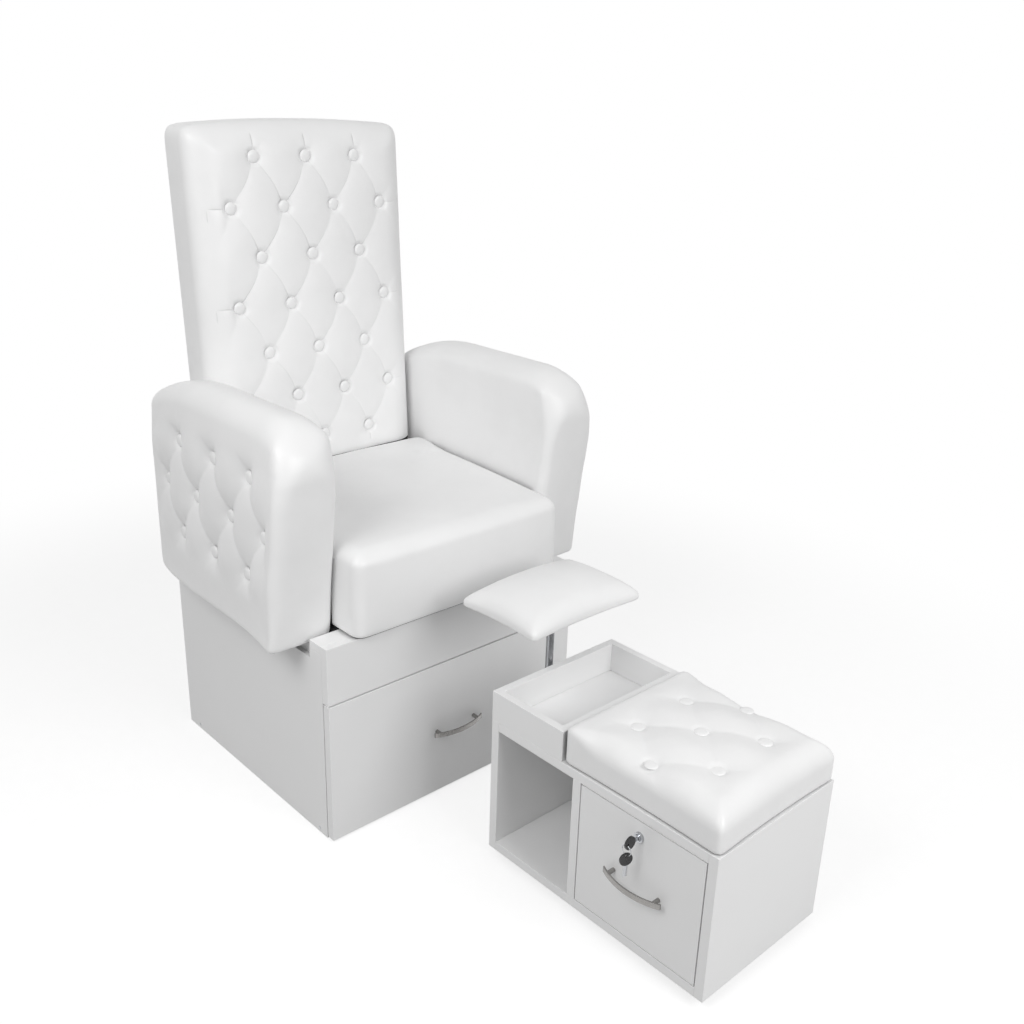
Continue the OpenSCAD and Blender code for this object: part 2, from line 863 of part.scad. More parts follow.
module back_cushion() {
    lines_u = pad_lines(back_half_w, back_roll,
        [for (k = [-6:6]) k * back_button_pitch / 4]);
    lines_v = pad_lines(back_half_h, back_roll, concat(
        [for (h = back_low_lines) h - back_half_h],
        [for (k = [-1:18]) back_first_row - back_half_h + k * back_row_pitch / 3]
    ));
    color("whitesmoke") hollowed() {
        pad(back_spec(), lines_u, lines_v, function (q) back_place(q));
        back_pocket();
    }
}

// The room inside the back that its board and straps fill
module back_pocket() {
    half = back_half_w - back_board_margin;
    y = strap_y() - back_board_t;
    leaning_slab(half + seat_play, y - seat_play, y + back_board_t + seat_play,
        back_board_h + seat_play);
    for (sx = [-1, 1]) translate([sx * strap_x, 0, 0])
        leaning_slab(strap_w / 2 + seat_play, y, strap_y() + strap_t + seat_play,
            strap_top + seat_play);
}

module back_board() {
    y = strap_y() - back_board_t;
    color("tan") leaning_slab(back_half_w - back_board_margin, y, y + back_board_t, back_board_h);
}

module back_straps() {
    y = strap_y();
    color("dimgray") difference() {
        for (sx = [-1, 1]) translate([sx * strap_x - strap_w / 2, 0, 0])
            rotate([90, 0, 90]) linear_extrude(strap_w) polygon([
                [y, strap_bottom], [y + strap_t, strap_bottom], [y + strap_t, soft_z],
                [y + strap_t + lean(strap_top), soft_z + strap_top],
                [y + lean(strap_top), soft_z + strap_top], [y, soft_z]
            ]);
        bolt_holes();
    }
}

module back_bolts() {
    color("silver") for (p = bolt_places()) {
        rod_y([p.x, rear_y, p.y], bolt_head_d, bolt_head_t);
        rod_y([p.x, strap_y() - bolt_nut_t, p.y], bolt_d, board_t + strap_t + bolt_nut_t + over);
        rod_y([p.x, strap_y() - bolt_nut_t, p.y], bolt_nut_d, bolt_nut_t);
    }
}

module back_buttons() {
    color("white") for (b = back_tufts) {
        seat = back_place(pad_face(back_spec(), b.x, b.y));
        translate(seat) rotate([90 - back_lean, 0, 0])
            translate([0, 0, shank_lift(back_tuft, back_button_pitch / 4)])
            button(shank(back_tuft, back_button_pitch / 4));
    }
}

// Stool case

module stool_end(y) {
    color("white") at_stool() box([0, y - stool_board_t, case_z], [stool_w, y, case_top]);
}

module stool_foot_end() {
    stool_end(0);
}

module stool_seat_end() {
    stool_end(-stool_l + stool_board_t);
}

module stool_bottom() {
    color("white") at_stool()
        box([0, bay_end_y, case_z], [stool_w, -stool_board_t, bay_z]);
}

module stool_top() {
    cam_x = cam_place();
    color("white") at_stool() difference() {
        box([0, bay_end_y, bay_top], [stool_w, -stool_board_t, case_top]);
        box([cam_x - mortise_play, drawer_mid_y - cam_w / 2 - mortise_play, bay_top - over],
            [cam_x + cam_t + mortise_play, drawer_mid_y + cam_l, bay_top + mortise_depth]);
    }
}

module stool_divider() {
    color("white") at_stool()
        box([0, bay_y, bay_z], [stool_w - stool_board_t, niche_y, bay_top]);
}

module stool_back() {
    color("white") at_stool()
        box([stool_w - stool_board_t, bay_end_y, bay_z], [stool_w, -stool_board_t, bay_top]);
}

module tray_walls() {
    color("white") at_stool() difference() {
        box([0, -tray_l, case_top], [stool_w, 0, case_top + tray_h]);
        box([tray_wall_t, -tray_l + tray_wall_t, case_top - over],
            [stool_w - tray_wall_t, -tray_wall_t, case_top + tray_h + over]);
    }
}

stool_tufts = [for (b = button_rows(3, 3, stool_button_pitch, stool_row_pitch, false))
    [b.x, b.y - stool_row_pitch]];

function stool_spec() = pad_spec(stool_half_w, stool_seat_half_l, stool_seat_t, stool_roll,
    stool_corner_r, stool_crown, stool_base_roll, stool_tufts, stool_tuft, stool_tuft_spread);

function stool_place(q) = [stool_half_w + q.x, stool_seat_y + q.y, case_top + q.z];

module stool_cushion() {
    lines_u = pad_lines(stool_half_w, stool_roll,
        [for (k = [-4:4]) k * stool_button_pitch / 4]);
    lines_v = pad_lines(stool_seat_half_l, stool_roll,
        [for (k = [-4:4]) k * stool_row_pitch / 3]);
    color("whitesmoke") at_stool() hollowed() {
        pad(stool_spec(), lines_u, lines_v, function (q) stool_place(q));
        stool_seat_slab(seat_play);
    }
}

module stool_seat_slab(play) {
    margin = stool_seat_board_margin - play;
    box([margin, stool_seat_y - stool_seat_half_l + margin, case_top - (play > 0 ? over : 0)],
        [stool_w - margin, stool_seat_y + stool_seat_half_l - margin,
        case_top + stool_seat_board_t + play]);
}

module stool_seat_board() {
    color("tan") at_stool() stool_seat_slab(0);
}

module stool_buttons() {
    color("white") at_stool() for (b = stool_tufts)
        translate(stool_place(pad_face(stool_spec(), b.x, b.y))
            + [0, 0, shank_lift(stool_tuft, stool_row_pitch / 3)])
            button(shank(stool_tuft, stool_row_pitch / 3));
}

// The stool's runners lie along +X on the divider and on the seat end
module stool_runner_place() {
    translate([closing_x(), bay_y, stool_runner_z]) rotate([0, 0, -90]) children();
    translate([closing_x(), bay_end_y, stool_runner_z])
        rotate([0, 0, -90]) mirror([1, 0, 0]) children();
}

function closing_x() = stool_box_x + runner_setback;

module stool_runners_fixed() {
    color("silver") at_stool() stool_runner_place() fixed_runner(stool_runner_l);
}

module stool_runners_moving() {
    color("silver") at_stool() stool_runner_place() moving_runner(stool_runner_l);
}

// Stool drawer

module stool_drawer_front() {
    color("white") at_stool() difference() {
        box([0, inset_end_y, inset_z], [stool_board_t, inset_y, inset_top]);
        rod_x([-over, drawer_mid_y, lock_z], lock_d + 2 * run_play, stool_board_t + 2 * over);
    }
}

module stool_drawer_box() {
    color("ivory") at_stool() open_box([stool_box_x, stool_box_end_y, stool_box_z],
        [stool_box_x + stool_box_d, stool_box_y, stool_box_z + stool_box_h]);
}

module stool_drawer_handle() {
    color("silver") at_stool() translate([0, drawer_mid_y, stool_handle_z])
        rotate([0, 0, -90]) bow_handle();
}

// Lock: a barrel in the drawer front, and a plug with a cam that turns in it

module at_lock() {
    at_stool() translate([0, drawer_mid_y, lock_z]) children();
}

function cam_place() = -rosette_t + lock_l + cam_gap;

module lock_body() {
    color("silver") at_lock() difference() {
        union() {
            rod_x([-rosette_t, 0, 0], rosette_d, rosette_t);
            rod_x([-rosette_t, 0, 0], lock_d, lock_l);
        }
        rod_x([-rosette_t - over, 0, 0], plug_d + 2 * run_play, lock_l + 2 * over);
    }
}

module lock_plug() {
    slot_w = key_blade_w + 2 * key_slot_play;
    slot_t = key_blade_t + 2 * key_slot_play;
    color("silver") at_lock() difference() {
        union() {
            rod_x([-rosette_t - plug_proud, 0, 0], plug_d,
                plug_proud + lock_l + cam_gap + cam_t);
            box([cam_place(), -cam_w / 2, -cam_w / 2],
                [cam_place() + cam_t, cam_l, cam_w / 2]);
        }
        box([-rosette_t - plug_proud - over, -slot_t / 2, -slot_w / 2],
            [-rosette_t + key_blade_in + key_slot_play, slot_t / 2, slot_w / 2]);
    }
}

// A key: its blade's tip at the origin, blade and head along -X in the XZ plane
module key(blade_l) {
    head_x = -blade_l - key_head_d / 2 + over;
    box([-blade_l, -key_blade_t / 2, -key_blade_w / 2], [0, key_blade_t / 2, key_blade_w / 2]);
    difference() {
        rod_y([head_x, -key_head_t / 2, 0], key_head_d, key_head_t);
        rod_y([head_x - key_head_d / 2 + key_hole_inset, -key_head_t / 2 - over, 0],
            key_hole_d, key_head_t + 2 * over);
    }
}

// Distance from a key's tip to the hole in its head
function key_hole_at(blade_l) = blade_l + key_head_d - over - key_hole_inset;

key_l = key_blade_in + key_blade_out;
// Place of the hole of the key in the lock, from the drawer front's face
key_hole_x = -rosette_t + key_blade_in - key_hole_at(key_l);

module key_in_lock() {
    color("black") at_lock() translate([-rosette_t + key_blade_in, 0, 0]) key(key_l);
}

// The spare key hangs on its ring from the hole of the key in the lock
module spare_key() {
    ring_top = -key_hole_d / 2 + ring_wire_d / 2 + seat_play;
    ring_z = ring_top - ring_r;
    hole_z = ring_z - ring_r + ring_wire_d / 2 + spare_play - key_hole_d / 2;
    color("black") at_lock() translate([key_hole_x, 0, 0]) {
        translate([0, 0, ring_z]) rotate([0, 90, 0])
            rotate_extrude() translate([ring_r, 0]) circle(d = ring_wire_d, $fn = wire_fn);
        translate([0, 0, hole_z - key_hole_at(spare_blade_l)]) rotate([0, 90, spare_turn])
            key(spare_blade_l);
    }
}

// Footrest

module at_post() {
    at_stool() translate([post_x, post_y, 0]) children();
}

module footrest_bracket() {
    bore = post_d / 2 + run_play;
    color("silver") at_stool() difference() {
        union() {
            box([post_x - bracket_w / 2, 0, bracket_z],
                [post_x + bracket_w / 2, bracket_t, bracket_z + bracket_h]);
            box([post_x - sleeve_r / 2, 0, sleeve_z],
                [post_x + sleeve_r / 2, post_y - bore, sleeve_z + sleeve_l]);
            translate([post_x, post_y, sleeve_z]) cylinder(r = sleeve_r, h = sleeve_l);
            rod_x([post_x + bore, post_y, clamp_z], clamp_boss_d, clamp_boss_l);
        }
        translate([post_x, post_y, sleeve_z - over]) cylinder(r = bore, h = sleeve_l + 2 * over);
        rod_x([post_x, post_y, clamp_z], clamp_screw_d + 2 * run_play,
            bore + clamp_boss_l + over);
    }
}

module footrest_post() {
    top = pad_z - pad_plate_t - seat_play;
    color("silver") at_post() translate([0, 0, post_bottom]) difference() {
        cylinder(d = post_d, h = top - post_bottom);
        translate([0, 0, -over])
            cylinder(d = post_d - 2 * post_wall, h = top - post_bottom - post_wall + over);
    }
}

module foot_pad_plate() {
    color("silver") at_post() difference() {
        union() {
            box([-pad_plate_l / 2, -pad_plate_w / 2, pad_z - pad_plate_t],
                [pad_plate_l / 2, pad_plate_w / 2, pad_z]);
            translate([0, 0, pad_z - pad_plate_t - socket_l])
                cylinder(r = sleeve_r, h = socket_l + over);
        }
        translate([0, 0, pad_z - pad_plate_t - socket_l - over])
            cylinder(d = post_d + 2 * run_play, h = socket_l + over);
    }
}

module foot_pad() {
    spec = pad_spec(pad_l / 2, pad_w / 2, pad_t, pad_roll, pad_corner_r, pad_crown,
        pad_base_roll);
    lines_u = pad_lines(pad_l / 2, pad_roll, even_lines(pad_l / 2, pad_roll, pad_lines_u));
    lines_v = pad_lines(pad_w / 2, pad_roll, even_lines(pad_w / 2, pad_roll, pad_lines_v));
    color("whitesmoke") at_post() pad(spec, lines_u, lines_v,
        function (q) [q.x, q.y, pad_z + q.z]);
}

module clamp_knob() {
    start = post_d / 2 + seat_play;
    knob_x = post_d / 2 + run_play + clamp_boss_l + knob_stand_off;
    color("black") at_post() translate([0, 0, clamp_z]) {
        rod_x([start, 0, 0], clamp_screw_d, knob_x - start + over);
        translate([knob_x, 0, 0]) rotate([0, 90, 0]) difference() {
            cylinder(d = knob_d, h = knob_t);
            for (i = [0:knob_lobes - 1]) rotate([0, 0, i * 360 / knob_lobes])
                translate([knob_d / 2, 0, -over]) cylinder(d = knob_lobe_d, h = knob_t + 2 * over);
        }
    }
}

// Casters: 1 and 2 at the foot end, 3 and 4 at the seat end

caster_places = [for (y = [-caster_foot_inset, -stool_l + caster_seat_inset])
    for (x = [caster_side_inset, stool_w - caster_side_inset]) [x, y]];

module at_caster(i) {
    at_stool() translate([caster_places[i].x, caster_places[i].y, 0]) children();
}

module caster_plates() {
    color("black") for (i = [0:3]) at_caster(i) {
        translate([0, 0, caster_h - caster_plate_t]) cylinder(d = caster_plate_d, h = caster_plate_t);
        translate([0, 0, fork_disc_z()])
            cylinder(d = rivet_d, h = caster_h - fork_disc_z() - caster_plate_t / 2);
    }
}

function fork_disc_z() = caster_h - caster_plate_t - seat_play - fork_disc_t;

module caster_fork(i) {
    color("black") at_caster(i) difference() {
        union() {
            translate([0, 0, fork_disc_z()]) cylinder(d = fork_disc_d, h = fork_disc_t);
            box([-fork_web_t / 2, -caster_trail - axle_d, wheel_d / 2 - axle_d],
                [fork_web_t / 2, -rivet_d / 2 - run_play, fork_disc_z() + fork_disc_t / 2]);
        }
        translate([0, 0, fork_disc_z() - over])
            cylinder(d = rivet_d + 2 * run_play, h = fork_disc_t + 2 * over);
        rod_x([-fork_web_t, -caster_trail, wheel_d / 2], axle_d + 2 * run_play, 2 * fork_web_t);
    }
}

module caster_wheels(i) {
    inner = fork_web_t / 2 + fork_gap;
    color("black") at_caster(i) translate([0, -caster_trail, wheel_d / 2]) {
        for (x = [-inner - wheel_w, inner]) rod_x([x, 0, 0], wheel_d, wheel_w);
        rod_x([-inner - wheel_w / 2, 0, 0], axle_d, 2 * inner + wheel_w);
    }
}

base_side_left();
base_side_right();
base_bottom();
base_back();
base_fascia();
base_top_strip();
base_deck();
base_screws();
base_runners_fixed();
seat_board();
seat_cushion();
arm_left();
arm_right();
arm_frame_left();
arm_frame_right();
arm_buttons_left();
arm_buttons_right();
underlining();
back_cushion();
back_board();
back_straps();
back_bolts();
back_buttons();
base_drawer_front();
base_drawer_box();
base_runners_moving();
base_drawer_handle();
stool_foot_end();
stool_seat_end();
stool_bottom();
stool_top();
stool_divider();
stool_back();
tray_walls();
stool_cushion();
stool_seat_board();
stool_buttons();
stool_runners_fixed();
footrest_bracket();
caster_plates();
stool_drawer_front();
stool_drawer_box();
stool_runners_moving();
stool_drawer_handle();
lock_body();
lock_plug();
key_in_lock();
spare_key();
footrest_post();
foot_pad_plate();
foot_pad();
clamp_knob();
caster_fork(0);  // caster_fork_1
caster_fork(1);  // caster_fork_2
caster_fork(2);  // caster_fork_3
caster_fork(3);  // caster_fork_4
caster_wheels(0);  // caster_wheels_1
caster_wheels(1);  // caster_wheels_2
caster_wheels(2);  // caster_wheels_3
caster_wheels(3);  // caster_wheels_4
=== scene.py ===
"""Dresses a white tufted pedicure chair and its rolling stool.

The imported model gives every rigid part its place. The boards and metal parts are copied
from it and their edges eased, and the upholstered pieces are built here.
"""

import json
import math

import bmesh
import bpy
import numpy as np
from bpy.props import FloatProperty, FloatVectorProperty, PointerProperty
from mathutils import Matrix, Vector, noise


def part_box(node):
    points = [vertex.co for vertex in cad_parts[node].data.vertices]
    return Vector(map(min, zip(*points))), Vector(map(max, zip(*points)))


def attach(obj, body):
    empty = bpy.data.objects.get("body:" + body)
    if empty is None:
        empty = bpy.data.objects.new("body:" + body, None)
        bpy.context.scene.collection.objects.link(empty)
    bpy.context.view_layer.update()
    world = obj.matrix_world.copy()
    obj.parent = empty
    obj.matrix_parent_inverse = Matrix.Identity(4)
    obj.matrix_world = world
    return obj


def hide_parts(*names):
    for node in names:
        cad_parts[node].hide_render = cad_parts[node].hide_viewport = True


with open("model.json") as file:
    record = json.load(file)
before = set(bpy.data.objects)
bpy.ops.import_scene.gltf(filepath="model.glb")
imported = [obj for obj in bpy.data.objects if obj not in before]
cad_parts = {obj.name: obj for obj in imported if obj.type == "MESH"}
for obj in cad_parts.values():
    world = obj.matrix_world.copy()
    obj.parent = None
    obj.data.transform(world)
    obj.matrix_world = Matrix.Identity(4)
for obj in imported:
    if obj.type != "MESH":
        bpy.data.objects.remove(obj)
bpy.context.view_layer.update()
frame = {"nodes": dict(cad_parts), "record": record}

bl_info = {
    "name": "Pedicure chair",
    "version": (1, 0, 0),
    "blender": (4, 5, 0),
    "location": "3D View > Sidebar > Chair",
    "description": "Dresses a tufted pedicure chair and its rolling stool",
    "category": "Object",
}


def length(name, about, default, low=0.0, high=1.0):
    return FloatProperty(
        name=name, description=about, default=default, min=low, max=high,
        unit="LENGTH", subtype="DISTANCE", precision=4,
    )


def angle(name, about, default):
    return FloatProperty(
        name=name, description=about, default=math.radians(default), min=0.0,
        max=math.radians(45), unit="ROTATION", subtype="ANGLE",
    )


def colour(name, about, default):
    return FloatVectorProperty(
        name=name, description=about, default=default, min=0.0, max=1.0,
        size=3, subtype="COLOR",
    )


class ChairSizes(bpy.types.PropertyGroup):
    """Sizes of the upholstery that its boxes in the frame don't give."""

    seat_crown: length("Seat crown", "Rise of the seat's middle over its edge", 0.008)
    seat_rise: length("Seat rise", "Rise of the seat from its front to its back", 0.020)
    seat_belly: length("Seat belly", "Swell of the seat's front face", 0.006)
    arm_crown: length("Arm crown", "Swell of an arm's outer face", 0.020)
    arm_tuft: length("Arm tufts", "Depth of an arm's dips under its puffs", 0.014)
    arm_setback: length("Arm setback", "Distance of an arm's foot from the front", 0.068)
    arm_lean: angle("Arm lean", "Lean of an arm's front edge", 8.0)
    arm_row: length("Arm's middle row", "Height over the deck where an arm is measured", 0.213)
    arm_nose: length("Arm nose", "Radius of an arm's front top corner", 0.092)
    arm_tail: length("Arm tail", "Length over which an arm's top falls at the back", 0.200)
    arm_drop: length("Arm drop", "Fall of an arm's top at the back", 0.056)
    back_lean: angle("Back lean", "Lean of the back", 3.5)
    back_thickness: length("Back thickness", "Thickness of the back", 0.115)
    back_crown: length("Back crown", "Swell of the back's face", 0.006)
    back_tuft: length("Back tufts", "Depth of the back's dips under its puffs", 0.004)
    back_arch: length("Back arch", "Rise of the back's top edge over its corners", 0.010)
    stool_height: length("Stool cushion", "Height of the stool cushion's sides", 0.072)
    stool_crown: length("Stool crown", "Rise of the stool cushion's middle", 0.014)
    stool_tuft: length("Stool tufts", "Depth of the stool's dips under its puffs", 0.005)
    pad_crown: length("Foot pad crown", "Rise of the foot pad's middle", 0.032)
    button: length("Button", "Diameter of a covered button", 0.025)
    edge: length("Board edge", "Radius of a board's eased edges", 0.0008)
    bar_edge: length("Bar edge", "Radius of a handle's eased edges", 0.0008)
    tube_edge: length("Tube edge", "Radius of the edges of the post and keys", 0.0006)
    strip_edge: length("Strip edge", "Radius of a thick strip's edges", 0.0005)
    small_edge: length("Small edge", "Radius of the edges of the lock and casters", 0.0003)
    sheet_edge: length("Sheet edge", "Radius of the edges of runners and screws", 0.0002)


class ChairColours(bpy.types.PropertyGroup):
    """Colours of the finishes."""

    leather: colour("Leatherette", "Cover of the upholstery", (0.90, 0.90, 0.90))
    board: colour("Board", "Melamine face of the boards", (0.88, 0.88, 0.88))
    inside: colour("Drawer board", "Raw board of the drawer boxes", (0.74, 0.73, 0.70))
    metal: colour("Nickel", "Handles", (0.34, 0.33, 0.32))
    chrome: colour("Chrome", "Footrest post, lock and key blades", (0.50, 0.51, 0.53))
    zinc: colour("Zinc plate", "Runners, screws and bolts", (0.52, 0.53, 0.55))
    enamel: colour("White enamel", "Footrest bracket", (0.78, 0.78, 0.78))
    strap: colour("Strap enamel", "Steel straps of the back", (0.02, 0.02, 0.02))
    black: colour("Black", "Keys, knob and casters", (0.012, 0.012, 0.013))


# Materials


class Value:
    """An output of a material's nodes. Arithmetic on it adds Math nodes."""

    def __init__(self, finish, socket):
        self.finish = finish
        self.socket = socket

    def __add__(self, other):
        return self.finish.math("ADD", self, other)

    __radd__ = __add__

    def __sub__(self, other):
        return self.finish.math("SUBTRACT", self, other)

    def __rsub__(self, other):
        return self.finish.math("SUBTRACT", other, self)

    def __mul__(self, other):
        return self.finish.math("MULTIPLY", self, other)

    __rmul__ = __mul__

    def __truediv__(self, other):
        return self.finish.math("DIVIDE", self, other)

    def __rtruediv__(self, other):
        return self.finish.math("DIVIDE", other, self)

    def __pow__(self, other):
        return self.finish.math("POWER", self, other)

    def __abs__(self):
        return self.finish.math("ABSOLUTE", self)

    def least(self, other):
        return self.finish.math("MINIMUM", self, other)

    def most(self, other):
        return self.finish.math("MAXIMUM", self, other)

    def off_whole(self):
        """Distance to the nearest whole number."""
        return abs(self - self.finish.math("ROUND", self))

    def step(self, low, high, start=0.0, end=1.0):
        """A smooth step from start at low to end at high."""
        return self.finish.node(
            "ShaderNodeMapRange",
            {"Value": self, "From Min": low, "From Max": high, "To Min": start, "To Max": end},
            interpolation_type="SMOOTHSTEP",
        )


class Finish:
    """A procedural material while its nodes are added."""

    def __init__(self, name, tree=None):
        self.tree = tree
        if tree is None:
            self.material = bpy.data.materials.new(name)
            self.material.use_nodes = True
            self.tree = self.material.node_tree
            self.tree.nodes.clear()
            self.place = self.node("ShaderNodeTexCoord", output="Object")

    def behind(self):
        """One for what the camera sees directly, in a mirror or through glass."""
        rays = [self.node("ShaderNodeLightPath", output=ray)
                for ray in ("Is Camera Ray", "Is Glossy Ray", "Is Transmission Ray")]
        return rays[0].most(rays[1]).most(rays[2])

    def node(self, kind, values=None, output=0, **settings):
        """Adds a node: its settings first, then the values or links of its sockets."""
        node = self.tree.nodes.new(kind)
        for key, value in settings.items():
            setattr(node, key, value)
        for key, value in (values or {}).items():
            if isinstance(value, Value):
                self.tree.links.new(value.socket, node.inputs[key])
            else:
                node.inputs[key].default_value = value
        return Value(self, node.outputs[output])

    def math(self, operation, *values):
        return self.node("ShaderNodeMath", dict(enumerate(values)), operation=operation)

    def axes(self):
        """The X, Y and Z of the object's own coordinates."""
        return [self.node("ShaderNodeSeparateXYZ", {"Vector": self.place}, output=k)
                for k in range(3)]

    def stretched(self, x, y, z):
        return self.node("ShaderNodeVectorMath", {0: self.place, 1: (x, y, z)},
                         operation="MULTIPLY")

    def noise(self, scale, detail=2.0, roughness=0.5, twist=0.0, at=None):
        return self.node(
            "ShaderNodeTexNoise",
            {"Vector": at or self.place, "Scale": scale, "Detail": detail,
             "Roughness": roughness, "Distortion": twist},
        )

    def cells(self, scale, at=None):
        return self.node("ShaderNodeTexVoronoi", {"Vector": at or self.place, "Scale": scale},
                         feature="SMOOTH_F1")

    def mix(self, share, first, second):
        """A colour between two others."""
        def full(c):
            return c if isinstance(c, Value) else (*c, 1.0)
        return self.node("ShaderNodeMix", {0: share, 6: full(first), 7: full(second)},
                         output=2, data_type="RGBA")

    def bump(self, height):
        """A normal from a height in metres."""
        return self.node("ShaderNodeBump",
                         {"Height": height, "Strength": 1.0, "Distance": 1.0})

    def surface(self, colour, roughness, normal=None, **others):
        values = {"Base Color": colour if isinstance(colour, Value) else (*colour, 1.0),
                  "Roughness": roughness}
        if normal is not None:
            values["Normal"] = normal
        for key, value in others.items():
            values[key.replace("_", " ")] = value
        shader = self.node("ShaderNodeBsdfPrincipled", values)
        self.node_out(shader)
        return self.material

    def node_out(self, shader):
        out = self.tree.nodes.new("ShaderNodeOutputMaterial")
        self.tree.links.new(shader.socket, out.inputs["Surface"])


def scaled(c, share):
    return tuple(v * share for v in c)


def leatherette(name, base, folds=None):
    """White coated cloth: fine pebble grain, soft waves and, where given, sewn-in folds with
    painted shade along their lines.
    """
    grain_depth, wave_depth, fold_depth = 0.00007, 0.0011, 0.0012
    f = Finish(name)
    tone = f.noise(4.0, detail=4.0, roughness=0.6)
    grain = f.cells(850.0)
    waves = f.noise(16.0, detail=2.0, twist=0.3)
    height = grain * grain_depth + waves * wave_depth
    tint = f.mix(tone.step(0.35, 0.65), scaled(base, 0.965), base)
    tint = f.mix(grain.step(0.0, 0.5) * 0.06, tint, scaled(base, 0.8))
    if folds:
        mask = folds(f)
        height = height - mask * fold_depth
        # Painted shade: the fold lines darken the colour towards 0.4 of the base, as the shade
        # in a crease.
        tint = f.mix(mask * 0.5, tint, scaled(base, 0.4))
    return f.surface(
        tint, f.noise(60.0, detail=3.0).step(0.2, 0.8, 0.36, 0.50), f.bump(height),
        Coat_Weight=0.08, Coat_Roughness=0.3, Specular_IOR_Level=0.45,
    )


def melamine(name, base):
    """Coated board: a faint orange peel in a satin face."""
    f = Finish(name)
    peel = f.noise(420.0, detail=2.0)
    haze = f.noise(3.0, detail=3.0, roughness=0.6)
    tint = f.mix(haze.step(0.3, 0.7), scaled(base, 0.97), base)
    return f.surface(tint, haze.step(0.2, 0.8, 0.30, 0.42), f.bump(peel * 0.000025))


def raw_board(name, base):
    """Pressed board with fine fibres."""
    f = Finish(name)
    fibre = f.noise(300.0, detail=4.0, at=f.stretched(1.0, 0.15, 1.0))
    tint = f.mix(fibre.step(0.3, 0.7), scaled(base, 0.93), base)
    return f.surface(tint, fibre.step(0.0, 1.0, 0.6, 0.8), f.bump(fibre * 0.00006))


def plywood(name):
    """Plain plywood with its grain along X."""
    f = Finish(name)
    grain = f.noise(30.0, detail=6.0, roughness=0.65, twist=1.2, at=f.stretched(0.3, 4.0, 4.0))
    tint = f.mix(grain.step(0.35, 0.7), (0.42, 0.27, 0.13), (0.62, 0.45, 0.26))
    return f.surface(tint, grain.step(0.0, 1.0, 0.55, 0.75), f.bump(grain * 0.0001))


def brushed(name, base, stretch, rough=(0.22, 0.36)):
    """Satin metal brushed along one axis."""
    f = Finish(name)
    lines = f.noise(900.0, detail=3.0, at=f.stretched(*stretch))
    haze = f.noise(40.0, detail=2.0)
    tint = f.mix(haze.step(0.3, 0.7), scaled(base, 0.9), base)
    return f.surface(tint, lines.step(0.2, 0.8, *rough), f.bump(lines * 0.000012), Metallic=1.0)


def polished(name, base):
    """Chromed steel with a trace of handling."""
    f = Finish(name)
    smears = f.noise(25.0, detail=4.0, twist=0.8)
    tint = f.mix(smears.step(0.4, 0.7), base, scaled(base, 0.93))
    return f.surface(tint, smears.step(0.3, 0.8, 0.06, 0.16), Metallic=1.0)


def moulded(name, base, rough=(0.22, 0.34), grain=0.00003):
    """Moulded plastic."""
    f = Finish(name)
    speck = f.noise(700.0, detail=2.0)
    haze = f.noise(60.0, detail=2.0)
    tint = f.mix(haze.step(0.3, 0.7), base, tuple(min(1.0, v * 1.3 + 0.004) for v in base))
    return f.surface(tint, haze.step(0.2, 0.8, *rough), f.bump(speck * grain))


def non_woven(name):
    """Black backing cloth with pressed dots; also painted shade on faces in the gaps."""
    f = Finish(name)
    dots = f.cells(500.0)
    tint = f.mix(dots.step(0.1, 0.5), (0.010, 0.010, 0.010), (0.028, 0.028, 0.028))
    return f.surface(tint, dots.step(0.0, 0.6, 0.8, 0.95), f.bump(dots * 0.0001))


# The half width of a fold's and a pleat's line, and where it has faded away
FOLD_LINE = (0.0004, 0.0016)
PLEAT_LINE = (0.0003, 0.0013)
FOLD_END = 0.004
FOLD_FADE = 0.010


def fold_mask(tuft, origin, lean, limit):
    """The sewn-in folds of a tufted face in X and Z, as a mask for bump and painted crease
    shade.

    origin is the X and Z of the face's middle in the object's coordinates. Past the limit in
    Y, which moves back with height by the lean, there are no folds.
    """
    def folds(f):
        xyz = f.axes()
        x, y = tuft.places[0]
        u = xyz[0] - (origin[0] + x)
        v = xyz[2] - (origin[1] + y)
        turn = v / tuft.rise
        bowed = u - f.math("SINE", turn * math.pi) ** 2 * tuft.bow
        a = bowed / tuft.pitch + turn / 2
        b = bowed / tuft.pitch - turn / 2
        away = a.off_whole().least(b.off_whole()) / tuft.slope
        # Strength of the lines, for the crease depth and its painted shade alike: strongest
        # just above a lower button, patchy, and stronger towards the top left.
        low = 1 - f.math("FRACT", turn + 0.02)
        patchy = f.noise(11.0, detail=2.0).step(0.38, 0.58)
        span = tuft.span
        strong = (u / span[1] - v / span[3]).step(-1.2, 2.6, 1.0, 0.35)
        strength = (low ** 2 * 0.8 + 0.2) * (patchy * 0.85 + 0.15) * strong
        inside = (abs(u - span[0]).step(span[1], span[1] + FOLD_END, 1.0, 0.0)
                  * abs(v - span[2]).step(span[3], span[3] + FOLD_END, 1.0, 0.0))
        line = away.step(*FOLD_LINE, 1.0, 0.0) * inside * strength
        for (p, q), (p2, q2), deep in tuft.pleats:
            along, across = (u, v) if q == q2 else (v, u)
            start, end, at = (p, p2, q) if q == q2 else (q, q2, p)
            start, end = sorted((start, end))
            at = at - (y if q == q2 else x)
            shift = x if q == q2 else y
            mid, reach = (start + end) / 2 - shift, (end - start) / 2
            pleat = (abs(across - at).step(*PLEAT_LINE, 1.0, 0.0)
                     * abs(along - mid).step(reach * 0.4, reach, 1.0, 0.0))
            line = line.most(pleat * deep)
        return line * (xyz[1] - xyz[2] * lean).step(limit - FOLD_FADE, limit, 1.0, 0.0)
    return folds


# Shapes


